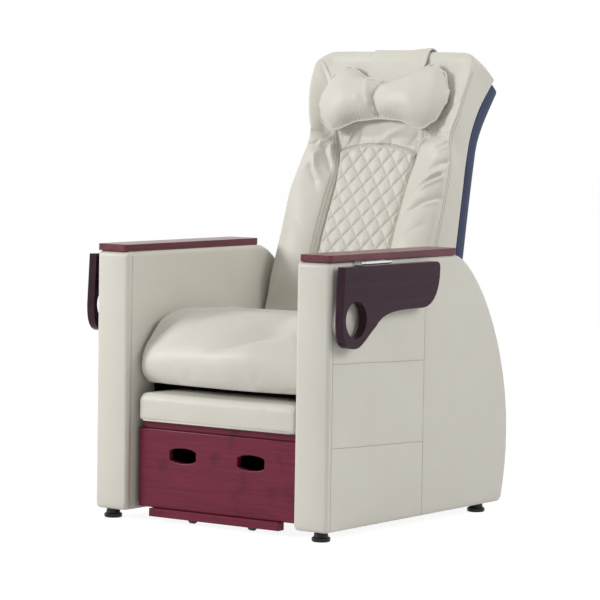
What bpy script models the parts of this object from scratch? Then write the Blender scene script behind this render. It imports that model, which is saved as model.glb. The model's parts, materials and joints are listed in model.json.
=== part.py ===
"""Pedicure spa chair with a reclining back, wooden arm rails, drop-down trays and a pull-out foot box.

Metres, +Z up. The sitter faces -Y, and the origin is on the floor under the middle of the chair.
Depths are measured back from the arm fronts, and `behind` turns a depth into a Y coordinate.
"""
import math

import bmesh
import bpy
from mathutils import Matrix, Vector
from mathutils.geometry import interpolate_bezier

# Clearances
SEAT_GAP = 0.0003
RUNNING_GAP = 0.0005

# Whole chair
CHAIR_DEPTH = 0.914
ARM_SPAN = 0.700
ARM_WIDTH = 0.099
ARM_TOP = 0.662
ARM_STRAIGHT = 0.545
ARM_BELLY_DEPTH = 0.811
ARM_BELLY_HEIGHT = 0.196
ARM_HEEL_DEPTH = 0.785
ARM_SHOULDER_PULL = 0.090
ARM_BELLY_PULL = 0.250
ARM_HEEL_PULL = 0.080
ARM_HEEL_SLOPE = 0.30
ARM_EDGE = 0.012

# Arm rails
RAIL_OVERHANG = 0.006
RAIL_INSET = 0.007
RAIL_THICKNESS = 0.0165
RAIL_CORNER = 0.010
RAIL_EDGE = 0.003

# Feet
FOOT_HEIGHT = 0.0225
FOOT_RADIUS = 0.0225
FOOT_SIDE_INSET = 0.036
FOOT_FRONT_INSET = 0.030
FOOT_REAR_INSET = 0.065
FOOT_NECK = 0.70
FOOT_FLARE = 0.80
FOOT_RIM = 0.42
FOOT_CHAMFER = 0.10

# Seat
DECK_BOTTOM = 0.327
DECK_THICKNESS = 0.010
DECK_FRONT = 0.105
DECK_REAR = 0.505
BEARER_HEIGHT = 0.040
SEAT_RAIL_DEPTH = 0.025
CUSHION_SIDE_GAP = 0.0015
CUSHION_FRONT = 0.028
CUSHION_SIDE_TOP = 0.497
CUSHION_REAR = 0.523
CUSHION_NOSE = 0.025
CUSHION_NOSE_REACH = 0.250
CUSHION_CROWN = 0.010
CUSHION_EDGE = 0.012
CUSHION_REAR_UNDERCUT = 0.030
CUSHION_REAR_DROP = 0.038
CUSHION_REAR_ROUND = 0.006
CUSHION_NOSE_LEVEL = 0.30
CUSHION_FLAT_START = 0.34
CUSHION_UNDER_START = 0.10

# Backrest in side view, measured back and up from the recline pivot, with leans from upright in degrees
FRONT_FOOT_BACK = -0.025
BACK_FOOT_RISE = 0.049
FRONT_FOOT_ANGLE = 20.0
FRONT_WAIST_BACK = 0.142
FRONT_WAIST_RISE = 0.554
FRONT_WAIST_ANGLE = 11.0
FRONT_TOP_BACK = 0.213
FRONT_TOP_RISE = 0.731
FRONT_TOP_ANGLE = 28.0
ROLL_CREST_BACK = 0.245
ROLL_CREST_RISE = 0.746
ROLL_CREST_ANGLE = 108.0
ROLL_END_RISE = 0.702
ROLL_END_ANGLE = 118.0
REAR_FOOT_BACK = 0.135
REAR_FOOT_ANGLE = 10.5
REAR_WAIST_BACK = 0.220
REAR_WAIST_RISE = 0.524
REAR_WAIST_ANGLE = 12.0
REAR_TIP_BACK = 0.329
REAR_TIP_RISE = 0.699
REAR_TIP_ANGLE = 38.0
BACK_SIDE_GAP = 0.013
BACK_WAIST_PULL = 0.012
BACK_HEAD_FLARE = 0.007
QUILT_HALF_WIDTH = 0.112
QUILT_START = 0.063
CREASE_RISE = 0.016
CREASE_WIDTH = 0.012
WAIST_LENGTH = 0.045
DIAMOND_HEIGHT = 0.057
DIAMONDS_ACROSS = 5
DIAMONDS_UP = 8
DIAMOND_PUFF = 0.008
BOLSTER_PUFF = 0.032
BOLSTER_START = 0.040
BOLSTER_EASE = 0.120
PANEL_SINK = 0.0245
SINK_START = 0.250
SINK_EASE = 0.270
HEAD_RISE = 0.0125
HEAD_RISE_EASE = 0.060
HEAD_FLAT = 0.62
ROLL_PUFF = 0.022
ROLL_PUFF_EASE = 0.040
HEAD_EASE = 0.050
HEAD_CROWN = 0.028
CREASE_DEPTH = 0.010
ROLL_THINNING = 0.75
ROLL_EASE = 0.060

# Backrest board and shell
SHELL_THICKNESS = 0.0385
SHELL_SIDE_GAP = 0.014
SHELL_EDGE = 0.008
BOARD_THICKNESS = 0.015
BOARD_SIDE_GAP = 0.036
BOARD_TAIL = 0.068
BOARD_TOP_GAP = 0.060
POCKET_END_GAP = 0.002

# Pillow and its flap, laid on the head of the backrest
PILLOW_SHIFT = 0.004
PILLOW_CENTRE = 0.640
PILLOW_SINK = 0.0005
PILLOW_THICKNESS = 0.068
PILLOW_REAR_SHARE = 0.20
PILLOW_HALF_WIDTH = 0.186
PILLOW_WING_RISE = 0.096
FLAP_WIDTH = 0.172
FLAP_THICKNESS = 0.004
FLAP_SHIFT = 0.012
FLAP_START = 0.045
FLAP_REACH = 0.060
FLAP_LIFT = 0.0008

# Recline pivot and gas strut
PIVOT_DEPTH = 0.555
PIVOT_HEIGHT = 0.391
PIVOT_RADIUS = 0.007
PIVOT_SHOULDER = 0.012
BRACKET_SIZE = 0.080
BRACKET_THICKNESS = 0.005
BRACKET_CORNER = 0.012
LINK_THICKNESS = 0.005
LINK_RADIUS = 0.026
LINK_MARGIN = 0.005
RECLINE_ANGLE = 25.0
LEVER_ARM = 0.095
LEVER_WIDTH = 0.034
LEVER_RADIUS = 0.0115
LEVER_SLOT_MARGIN = 0.006
LEVER_PIN_RADIUS = 0.005
STRUT_RADIUS = 0.014
STRUT_TOP = 0.300
STRUT_FLOOR = 0.016
STRUT_CHAMFER = 0.003
ROD_RADIUS = 0.005
ROD_INSERT = 0.075
EYE_RADIUS = 0.0135
EYE_WIDTH = 0.012
EYE_PLAY = 0.0027
CUP_WALL = 0.004
CUP_HEIGHT = 0.030
CUP_FLANGE = 0.008

# Rear of the base
CROSS_RAIL_HEIGHT = 0.040
CROSS_RAIL_DEPTH = 0.050
CROSS_RAIL_BOTTOM = 0.045
REAR_PANEL_INSET = 0.013
REAR_PANEL_THICKNESS = 0.014
REAR_PANEL_TOP = 0.365
REAR_PANEL_EDGE = 0.004

# Side trays
TRAY_THICKNESS = 0.022
TRAY_OFFSET = 0.012
TRAY_DROP = 0.010
TRAY_FRONT = 0.012
TRAY_LENGTH = 0.410
TRAY_SHELF = 0.110
TRAY_TAIL = 0.075
TRAY_SLOPE = 0.009
TRAY_EDGE = 0.005
TRAY_CORNER = 0.014
CUP_DEPTH = 0.0605
CUP_DROP = 0.1255
CUP_LOOP_FRONT = 0.0565
CUP_HOLE_RADIUS = 0.0435
CUP_LOOP_RADIUS = 0.0680
HINGE_FRONT = 0.095
HINGE_LENGTH = 0.128
HINGE_LUG = 0.015
HINGE_OUT = 0.020
HINGE_RISE = 0.0055
HINGE_PIN_RADIUS = 0.0022
HINGE_KNUCKLE_RADIUS = 0.0045
HINGE_PLATE = 0.0025
HINGE_PLATE_DROP = 0.032

# Foot box
BOX_FRONT = 0.033
BOX_REAR = 0.450
BOX_SIDE_GAP = 0.012
BOX_BOTTOM = 0.034
PANEL_TOP = 0.2285
PANEL_THICKNESS = 0.016
PANEL_EDGE = 0.0015
BOARD = 0.015
TOP_BOARD_THICKNESS = 0.018
TOP_BOARD_INSET = 0.007
HAND_HOLE_WIDTH = 0.080
HAND_HOLE_HEIGHT = 0.037
HAND_HOLE_END = 0.020
HAND_HOLE_ACROSS = 0.103
HAND_HOLE_LEVEL = 0.168
PAD_CLEARANCE = 0.0055
PAD_CROWN = 0.004
PAD_SIDE_INSET = 0.003
PAD_FRONT = 0.026
PAD_BULGE = 0.004
PAD_FRONT_ROUND = 0.010
PAD_END_ROUND = 0.010
PLINTH_SIDE_INSET = 0.043
PLINTH_FRONT = 0.021
PLINTH_THICKNESS = 0.024
PLINTH_BOTTOM = 0.0135
GUIDE_HEIGHT = 0.030
GUIDE_LEVEL = 0.110

# Casters under the foot box
CASTER_ACROSS = 0.090
CASTER_FRONT = 0.062
CASTER_REAR = 0.405
WHEEL_RADIUS = 0.013
WHEEL_WIDTH = 0.018
WHEEL_LIFT = 0.0005
WHEEL_HUB = 0.0055
WHEEL_RECESS = 0.002
AXLE_RADIUS = 0.0025
FORK_PLATE = 0.003
FORK_CHEEK = 0.002
FORK_LENGTH = 0.022

# Pillow outline and fill: share of the half width, then share of the wing's rise or of the thickness
PILLOW_TOP_SHARES = ((0.0, 0.54), (0.27, 0.65), (0.67, 1.0), (0.86, 0.77), (1.0, 0.23))
PILLOW_BOTTOM_SHARES = ((0.0, -0.54), (0.27, -0.58), (0.70, -0.85), (0.87, -0.65), (1.0, -0.13))
PILLOW_FILL_SHARES = ((0.0, 0.62), (0.22, 0.85), (0.51, 1.0), (0.81, 0.72), (1.0, 0.16))

# Worked-out places
ORIGIN = Vector((0.0, 0.0, 0.0))
INNER_FACE = ARM_SPAN / 2 - ARM_WIDTH
DIAMOND_WIDTH = 2 * QUILT_HALF_WIDTH / DIAMONDS_ACROSS
QUILT_LENGTH = DIAMOND_HEIGHT * DIAMONDS_UP
CREASE = QUILT_START + QUILT_LENGTH + CREASE_RISE
BOX_HALF_WIDTH = INNER_FACE - BOX_SIDE_GAP
BACK_HALF_WIDTH = INNER_FACE - BACK_SIDE_GAP
SHELL_HALF_WIDTH = INNER_FACE - SHELL_SIDE_GAP
BOARD_HALF_WIDTH = INNER_FACE - BOARD_SIDE_GAP
DECK_TOP = DECK_BOTTOM + DECK_THICKNESS
PAD_TOP = DECK_BOTTOM - PAD_CROWN - PAD_CLEARANCE
TRAY_TOP = ARM_TOP - TRAY_DROP
TRAY_REAR = TRAY_FRONT + TRAY_LENGTH
WHEEL_CENTRE = WHEEL_RADIUS + WHEEL_LIFT
STRUT_DEPTH = PIVOT_DEPTH + LEVER_ARM * (1 + math.cos(math.radians(RECLINE_ANGLE / 2))) / 2


def behind(depth):
    return depth - CHAIR_DEPTH / 2


def from_pivot(back, rise, angle):
    """Knot of a side-view line, placed from the recline pivot."""
    return PIVOT_DEPTH + back, PIVOT_HEIGHT + rise, angle


PIVOT = Vector((0.0, behind(PIVOT_DEPTH), PIVOT_HEIGHT))
BACK_FRONT_LINE = (from_pivot(FRONT_FOOT_BACK, BACK_FOOT_RISE, FRONT_FOOT_ANGLE),
                   from_pivot(FRONT_WAIST_BACK, FRONT_WAIST_RISE, FRONT_WAIST_ANGLE),
                   from_pivot(FRONT_TOP_BACK, FRONT_TOP_RISE, FRONT_TOP_ANGLE))
BACK_ROLL_LINE = (BACK_FRONT_LINE[-1],
                  from_pivot(ROLL_CREST_BACK, ROLL_CREST_RISE, ROLL_CREST_ANGLE),
                  from_pivot(REAR_TIP_BACK, ROLL_END_RISE, ROLL_END_ANGLE))
BACK_REAR_LINE = (from_pivot(REAR_FOOT_BACK, BACK_FOOT_RISE, REAR_FOOT_ANGLE),
                  from_pivot(REAR_WAIST_BACK, REAR_WAIST_RISE, REAR_WAIST_ANGLE),
                  from_pivot(REAR_TIP_BACK, REAR_TIP_RISE, REAR_TIP_ANGLE))


def collection(name):
    group = bpy.data.collections.new(name)
    bpy.context.scene.collection.children.link(group)
    return group


def surface(name, red, green, blue, roughness, metallic=0.0):
    material = bpy.data.materials.new(name)
    material.use_nodes = True
    shader = material.node_tree.nodes["Principled BSDF"]
    shader.inputs["Base Color"].default_value = (red, green, blue, 1.0)
    shader.inputs["Roughness"].default_value = roughness
    shader.inputs["Metallic"].default_value = metallic
    return material


for old in list(bpy.data.objects):
    bpy.data.objects.remove(old, do_unlink=True)

parts = collection("pedicure_chair")
cutters = collection("cutters")

cream_leather = surface("cream_leather", 0.79, 0.74, 0.62, 0.45)
mahogany = surface("mahogany", 0.16, 0.030, 0.045, 0.30)
tray_lacquer = surface("tray_lacquer", 0.085, 0.022, 0.034, 0.18)
navy_leather = surface("navy_leather", 0.030, 0.042, 0.090, 0.50)
plywood = surface("plywood", 0.56, 0.41, 0.25, 0.70)
black_plastic = surface("black_plastic", 0.015, 0.015, 0.016, 0.50)
steel = surface("zinc_steel", 0.45, 0.46, 0.48, 0.38, 1.0)
chrome = surface("chrome", 0.75, 0.76, 0.78, 0.10, 1.0)


def add_object(name, mesh, finish, pivot=ORIGIN):
    """Make an object from a mesh in chair coordinates, with its origin at the pivot."""
    mesh.name = name
    mesh.transform(Matrix.Translation(-pivot))
    mesh.materials.clear()
    mesh.materials.append(finish)
    mesh.shade_smooth()
    mesh.set_sharp_from_angle(angle=math.radians(35))
    piece = bpy.data.objects.new(name, mesh)
    piece.location = pivot
    parts.objects.link(piece)
    return piece


def face_outwards(bm):
    bmesh.ops.recalc_face_normals(bm, faces=bm.faces)
    if bm.calc_volume(signed=True) < 0.0:
        bmesh.ops.reverse_faces(bm, faces=bm.faces)


def from_bmesh(name, bm, finish, pivot=ORIGIN):
    face_outwards(bm)
    mesh = bpy.data.meshes.new(name)
    bm.to_mesh(mesh)
    bm.free()
    return add_object(name, mesh, finish, pivot)


def round_edges(piece, width, segments=2, angle=40.0):
    bevel = piece.modifiers.new("rounded_edges", 'BEVEL')
    bevel.width = width
    bevel.segments = segments
    bevel.limit_method = 'ANGLE'
    bevel.angle_limit = math.radians(angle)
    return piece


def as_cutter(piece):
    parts.objects.unlink(piece)
    cutters.objects.link(piece)
    piece.hide_render = True
    piece.display_type = 'WIRE'
    return piece


def combine(piece, other, operation):
    boolean = piece.modifiers.new(operation.lower(), 'BOOLEAN')
    boolean.object = as_cutter(other)
    boolean.operation = operation
    return piece


def evaluated_mesh(piece):
    """The mesh that an object shows, with curve caps welded and flat caps made whole."""
    depsgraph = bpy.context.evaluated_depsgraph_get()
    mesh = bpy.data.meshes.new_from_object(piece.evaluated_get(depsgraph))
    bm = bmesh.new()
    bm.from_mesh(mesh)
    bmesh.ops.remove_doubles(bm, verts=bm.verts, dist=1e-6)
    bmesh.ops.dissolve_limit(bm, angle_limit=math.radians(0.01), verts=bm.verts, edges=bm.edges)
    face_outwards(bm)
    bm.to_mesh(mesh)
    bm.free()
    return mesh


def plate(name, loops, thickness, frame, finish, pivot=ORIGIN):
    """Flat piece from an outline and its holes; frame places the outline's plane and its middle."""
    curve = bpy.data.curves.new(name, 'CURVE')
    curve.dimensions = '2D'
    curve.fill_mode = 'BOTH'
    curve.extrude = thickness / 2
    for loop in loops:
        spline = curve.splines.new('POLY')
        spline.points.add(len(loop) - 1)
        spline.use_cyclic_u = True
        for point, (u, v) in zip(spline.points, loop):
            point.co = (u, v, 0.0, 1.0)
    drawn = bpy.data.objects.new(name, curve)
    parts.objects.link(drawn)
    mesh = evaluated_mesh(drawn)
    bpy.data.objects.remove(drawn)
    mesh.transform(frame)
    return add_object(name, mesh, finish, pivot)


def side_plane(across):
    """Outline drawn as depth and height, thickness across the chair."""
    return Matrix(((0, 0, 1, across), (1, 0, 0, behind(0.0)), (0, 1, 0, 0), (0, 0, 0, 1)))


def front_plane(depth):
    """Outline drawn as across and height, thickness along the depth."""
    return Matrix(((1, 0, 0, 0), (0, 0, -1, behind(depth)), (0, 1, 0, 0), (0, 0, 0, 1)))


def top_plane(height):
    """Outline drawn as across and depth, thickness upwards."""
    return Matrix(((1, 0, 0, 0), (0, 1, 0, behind(0.0)), (0, 0, 1, height), (0, 0, 0, 1)))


def rectangle(low_u, low_v, high_u, high_v, corner=0.0, steps=4):
    middle = Vector(((low_u + high_u) / 2, (low_v + high_v) / 2))
    if corner == 0.0:
        return [(low_u, low_v), (high_u, low_v), (high_u, high_v), (low_u, high_v)]
    reach = Vector(((high_u - low_u) / 2 - corner, (high_v - low_v) / 2 - corner))
    loop = []
    for quarter, (sign_u, sign_v) in enumerate(((1, 1), (-1, 1), (-1, -1), (1, -1))):
        centre = middle + Vector((sign_u * reach.x, sign_v * reach.y))
        loop += arc(centre, corner, quarter * 90.0, quarter * 90.0 + 90.0, steps)
    return loop


def arc(centre, radius, start, end, steps):
    angles = [math.radians(start + (end - start) * i / steps) for i in range(steps + 1)]
    return [(centre[0] + radius * math.cos(a), centre[1] + radius * math.sin(a)) for a in angles]


def circle(centre, radius, steps=24):
    return arc(centre, radius, 0.0, 360.0, steps)[:-1]


def bezier(start, start_handle, end_handle, end, steps):
    points = [Vector((u, v, 0.0)) for u, v in (start, start_handle, end_handle, end)]
    return [(p.x, p.y) for p in interpolate_bezier(*points, steps + 1)]


def block(name, low, high, finish, pivot=ORIGIN, edge=0.0):
    """Box between two corners given as across, depth, height."""
    low_corner = Vector((low[0], behind(low[1]), low[2]))
    high_corner = Vector((high[0], behind(high[1]), high[2]))
    bm = bmesh.new()
    bmesh.ops.create_cube(bm, size=1.0)
    size = high_corner - low_corner
    place = Matrix.LocRotScale((low_corner + high_corner) / 2, None, size)
    bmesh.ops.transform(bm, matrix=place, verts=bm.verts)
    piece = from_bmesh(name, bm, finish, pivot)
    return round_edges(piece, edge) if edge else piece


def rod(name, centre, axis, radius, length, finish, pivot=ORIGIN, steps=16):
    """Solid round bar centred on a point."""
    bm = bmesh.new()
    bmesh.ops.create_cone(
        bm, cap_ends=True, segments=steps, radius1=radius, radius2=radius, depth=length)
    turn = Vector((0, 0, 1)).rotation_difference(Vector(axis)).to_matrix().to_4x4()
    bmesh.ops.transform(bm, matrix=Matrix.Translation(centre) @ turn, verts=bm.verts)
    return from_bmesh(name, bm, finish, pivot)


def turned(name, profile, centre, axis, finish, pivot=ORIGIN, steps=24):
    """Turned piece: profile is radius and height, run down its outer side, spun round the axis."""
    bm = bmesh.new()
    verts = [bm.verts.new((radius, 0.0, height)) for radius, height in profile]
    for first, second in zip(verts, verts[1:]):
        bm.edges.new((first, second))
    mesh = bpy.data.meshes.new(name)
    bm.to_mesh(mesh)
    bm.free()
    profile_object = bpy.data.objects.new(name, mesh)
    parts.objects.link(profile_object)
    screw = profile_object.modifiers.new("turn", 'SCREW')
    screw.steps = steps
    screw.render_steps = steps
    screw.use_merge_vertices = True
    screw.merge_threshold = 0.00001
    solid = evaluated_mesh(profile_object)
    bpy.data.objects.remove(profile_object)
    turn = Vector((0, 0, 1)).rotation_difference(Vector(axis)).to_matrix().to_4x4()
    solid.transform(Matrix.Translation(centre) @ turn)
    return add_object(name, solid, finish, pivot)


def loft(name, rings, finish, pivot=ORIGIN, is_ridge=None):
    """Closed skin over a row of closed sections; is_ridge names the seam corners of a quilted cell."""
    bm = bmesh.new()
    rows = [[bm.verts.new(point) for point in ring] for ring in rings]
    count = len(rows[0])
    for i, (row, following) in enumerate(zip(rows, rows[1:])):
        for j in range(count):
            k = (j + 1) % count
            quad = (row[j], row[k], following[k], following[j])
            if is_ridge and is_ridge(i, j):
                bm.faces.new((quad[0], quad[1], quad[2]))
                bm.faces.new((quad[0], quad[2], quad[3]))
            elif is_ridge and is_ridge(i, k):
                bm.faces.new((quad[1], quad[2], quad[3]))
                bm.faces.new((quad[1], quad[3], quad[0]))
            else:
                bm.faces.new(quad)
    bm.faces.new(rows[0])
    bm.faces.new(list(reversed(rows[-1])))
    return from_bmesh(name, bm, finish, pivot)


def ease(value):
    value = min(max(value, 0.0), 1.0)
    return value * value * (3 - 2 * value)


def along_knots(knots, value):
    """Smooth reading between (position, value) knots."""
    for (low, first), (high, second) in zip(knots, knots[1:]):
        if value <= high:
            return first + (second - first) * ease((value - low) / (high - low))
    return knots[-1][1]


def side_line(knots, steps):
    """Side-view curve through depth, height and lean knots."""
    line = []
    for (depth_a, height_a, lean_a), (depth_b, height_b, lean_b) in zip(knots, knots[1:]):
        third = math.dist((depth_a, height_a), (depth_b, height_b)) / 3
        lean_a, lean_b = math.radians(lean_a), math.radians(lean_b)
        start_handle = (depth_a + third * math.sin(lean_a), height_a + third * math.cos(lean_a))
        end_handle = (depth_b - third * math.sin(lean_b), height_b - third * math.cos(lean_b))
        line += bezier((depth_a, height_a), start_handle, end_handle, (depth_b, height_b), steps)[:-1]
    return line + [knots[-1][:2]]


def line_length(line):
    return sum(math.dist(a, b) for a, b in zip(line, line[1:]))


def walk(line, distance):
    """Point and forward normal at a distance along a side-view line; past its end it runs on straight."""
    for a, b in zip(line, line[1:]):
        step = math.dist(a, b)
        if distance <= step or b is line[-1]:
            break
        distance -= step
    tangent = Vector((b[0] - a[0], b[1] - a[1])).normalized()
    return Vector(a) + tangent * distance, Vector((-tangent.y, tangent.x))


def offset_line(line, distance):
    """Copy of a side-view line moved back along its normals."""
    moved = []
    reach = 0.0
    for i, point in enumerate(line):
        reach += math.dist(point, line[i - 1]) if i else 0.0
        normal = walk(line, max(reach - 1e-6, 0.0))[1]
        moved.append((point[0] - normal.x * distance, point[1] - normal.y * distance))
    return moved


# Arms and what they carry


def build_arms():
    bottom = FOOT_HEIGHT + SEAT_GAP
    belly = (ARM_BELLY_DEPTH, ARM_BELLY_HEIGHT)
    sweep = bezier((ARM_STRAIGHT, ARM_TOP), (ARM_STRAIGHT + ARM_SHOULDER_PULL, ARM_TOP),
                   (ARM_BELLY_DEPTH, ARM_BELLY_HEIGHT + ARM_BELLY_PULL), belly, 14)
    heel_handle = (ARM_HEEL_DEPTH + ARM_HEEL_SLOPE * ARM_HEEL_PULL / 2, bottom + ARM_HEEL_PULL / 2)
    heel = bezier(belly, (ARM_BELLY_DEPTH, ARM_BELLY_HEIGHT - ARM_HEEL_PULL), heel_handle,
                  (ARM_HEEL_DEPTH, bottom), 5)
    outline = [(0.0, bottom), (0.0, ARM_TOP)] + sweep + heel[1:]
    for name, side in (("left", -1), ("right", 1)):
        across = side * (INNER_FACE + ARM_WIDTH / 2)
        arm = plate(f"{name}_arm", [outline[::-1]], ARM_WIDTH, side_plane(across), cream_leather)
        round_edges(arm, ARM_EDGE, segments=3)
        low, high = sorted((side * (INNER_FACE + RAIL_INSET), side * ARM_SPAN / 2))
        rail_outline = rectangle(low, 0.0, high, ARM_STRAIGHT + RAIL_OVERHANG, RAIL_CORNER)
        rail_level = ARM_TOP + SEAT_GAP + RAIL_THICKNESS / 2
        rail = plate(f"{name}_arm_rail", [rail_outline], RAIL_THICKNESS, top_plane(rail_level), mahogany)
        round_edges(rail, RAIL_EDGE)
        foot_across = side * (ARM_SPAN / 2 - FOOT_SIDE_INSET)
        build_foot(f"front_{name}_foot", foot_across, FOOT_FRONT_INSET)
        build_foot(f"rear_{name}_foot", foot_across, ARM_HEEL_DEPTH - FOOT_REAR_INSET)


def build_foot(name, across, depth):
    chamfer = FOOT_CHAMFER * FOOT_RADIUS
    rim = FOOT_RIM * FOOT_HEIGHT
    profile = [(0.0, FOOT_HEIGHT), (FOOT_NECK * FOOT_RADIUS, FOOT_HEIGHT),
               (FOOT_FLARE * FOOT_RADIUS, rim + chamfer), (FOOT_RADIUS, rim), (FOOT_RADIUS, chamfer),
               (FOOT_RADIUS - chamfer, 0.0), (0.0, 0.0)]
    turned(name, profile, Vector((across, behind(depth), 0.0)), (0, 0, 1), black_plastic, steps=20)


# Seat


def seat_section(half_width, across):
    """Side-view ring of the seat cushion at one place across the chair."""
    bottom = DECK_TOP + SEAT_GAP
    top = CUSHION_SIDE_TOP
    length = CUSHION_REAR - CUSHION_FRONT
    nose = bottom + CUSHION_NOSE_LEVEL * (top - bottom)
    under = CUSHION_FRONT + CUSHION_UNDER_START * length
    flat = CUSHION_FRONT + CUSHION_FLAT_START * length
    rear_top = top - CUSHION_REAR_DROP
    rear_foot = CUSHION_REAR - CUSHION_REAR_UNDERCUT
    rear_round = CUSHION_REAR - CUSHION_REAR_ROUND
    ring = [(rear_foot + (under - rear_foot) * i / 3, bottom) for i in range(3)]
    ring += bezier((under, bottom), (CUSHION_FRONT + (under - CUSHION_FRONT) * 0.4, bottom),
                   (CUSHION_FRONT, bottom + (nose - bottom) * 0.45), (CUSHION_FRONT, nose), 4)
    ring += bezier((CUSHION_FRONT, nose), (CUSHION_FRONT, nose + (top - nose) * 0.57),
                   (CUSHION_FRONT + (flat - CUSHION_FRONT) * 0.46, top), (flat, top), 7)[1:]
    ring += bezier((flat, top), (flat + (rear_round - flat) * 0.35, top),
                   (flat + (rear_round - flat) * 0.75, rear_top + CUSHION_REAR_DROP / 2),
                   (rear_round, rear_top), 5)[1:]
    ring.append((CUSHION_REAR, rear_top - CUSHION_REAR_DROP / 2))
    share = abs(across) / half_width
    swell = 1.0 - share ** 2
    points = []
    for depth, height in ring:
        forward = ease(1.0 - (depth - CUSHION_FRONT) / CUSHION_NOSE_REACH)
        upward = ease((height - bottom) / (CUSHION_SIDE_TOP - bottom))
        depth -= CUSHION_NOSE * swell * forward
        height += CUSHION_CROWN * swell * upward
        points.append(Vector((across, behind(depth), height)))
    return points


def pulled_in(points, amount):
    """Section drawn in towards its middle, for the rounded end of a cushion."""
    middle = sum(points, Vector()) / len(points)
    drawn = []
    for point in points:
        inward = middle - point
        inward.x = 0.0
        inward.z *= 1.0 if point.z > middle.z else 0.0
        drawn.append(point + inward.normalized() * amount if inward.length > amount else point)
    return drawn


def build_seat():
    inner = INNER_FACE - SEAT_GAP
    bearer_inner = BOX_HALF_WIDTH + RUNNING_GAP
    bearer_top = DECK_BOTTOM - SEAT_GAP
    for name, side in (("left", -1), ("right", 1)):
        low, high = sorted((side * bearer_inner, side * inner))
        block(f"{name}_seat_bearer", (low, DECK_FRONT, bearer_top - BEARER_HEIGHT),
              (high, DECK_REAR, bearer_top), plywood)
        block(f"{name}_box_guide", (low, DECK_FRONT, GUIDE_LEVEL),
              (high, BOX_REAR, GUIDE_LEVEL + GUIDE_HEIGHT), black_plastic)
    rail_half = bearer_inner - SEAT_GAP
    block("rear_seat_rail", (-rail_half, DECK_REAR - SEAT_RAIL_DEPTH, bearer_top - BEARER_HEIGHT),
          (rail_half, DECK_REAR, bearer_top), plywood)
    block("seat_deck", (-inner, DECK_FRONT, DECK_BOTTOM), (inner, DECK_REAR, DECK_TOP), plywood)
    half_width = INNER_FACE - CUSHION_SIDE_GAP
    rings = []
    for share in (-1.0, -0.96, -0.85, -0.65, -0.4, -0.13, 0.13, 0.4, 0.65, 0.85, 0.96, 1.0):
        section = seat_section(half_width, share * half_width)
        rings.append(pulled_in(section, CUSHION_EDGE) if abs(share) == 1.0 else section)
    loft("seat_cushion", rings, cream_leather)


# Rear of the base


def build_rear():
    inner = INNER_FACE - SEAT_GAP
    block("lower_cross_rail",
          (-inner, STRUT_DEPTH - CROSS_RAIL_DEPTH / 2, CROSS_RAIL_BOTTOM),
          (inner, STRUT_DEPTH + CROSS_RAIL_DEPTH / 2, CROSS_RAIL_BOTTOM + CROSS_RAIL_HEIGHT), plywood)
    rear = ARM_HEEL_DEPTH - REAR_PANEL_INSET
    block("rear_panel", (-inner, rear, CROSS_RAIL_BOTTOM),
          (inner, rear + REAR_PANEL_THICKNESS, REAR_PANEL_TOP), cream_leather,
          edge=REAR_PANEL_EDGE)
    for name, side in (("left", -1), ("right", 1)):
        build_pivot(name, side)
    build_strut()


def build_pivot(name, side):
    """Plate on the arm's inner face, shouldered pin and the link that hangs the backrest board on it."""
    bracket_face = INNER_FACE - SEAT_GAP
    link_face = BOARD_HALF_WIDTH + SEAT_GAP
    half = BRACKET_SIZE / 2
    corner = (PIVOT_DEPTH - half, PIVOT_HEIGHT - half, PIVOT_DEPTH + half, PIVOT_HEIGHT + half)
    hole = circle((PIVOT_DEPTH, PIVOT_HEIGHT), PIVOT_RADIUS + SEAT_GAP, 16)
    across = side * (bracket_face - BRACKET_THICKNESS / 2)
    plate(f"{name}_pivot_bracket", [rectangle(*corner, BRACKET_CORNER, 3), hole], BRACKET_THICKNESS,
          side_plane(across), steel)
    shoulder_low = link_face + LINK_THICKNESS + RUNNING_GAP
    shoulder_high = bracket_face - BRACKET_THICKNESS - SEAT_GAP
    profile = [(0.0, bracket_face), (PIVOT_RADIUS, bracket_face), (PIVOT_RADIUS, shoulder_high),
               (PIVOT_SHOULDER, shoulder_high), (PIVOT_SHOULDER, shoulder_low),
               (PIVOT_RADIUS, shoulder_low), (PIVOT_RADIUS, link_face), (0.0, link_face)]
    turned(f"{name}_pivot_pin", profile, PIVOT, (side, 0, 0), steel, steps=16)


def rear_line():
    """Joint between the cushion and what backs it, shared by all of them."""
    return side_line(BACK_REAR_LINE, 7)


def board_face(top_gap):
    """Rear line from the board's tail, below the cushion, to a distance short of the top."""
    line = rear_line()
    lean = math.radians(BACK_REAR_LINE[0][2])
    start = line[0]
    face = [(start[0] - BOARD_TAIL * math.tan(lean), start[1] - BOARD_TAIL)]
    length = line_length(line) - top_gap
    reach = 0.0
    for i, point in enumerate(line):
        reach += math.dist(point, line[i - 1]) if i else 0.0
        if reach < length:
            face.append(point)
    return face + [tuple(walk(line, length)[0])]


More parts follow.
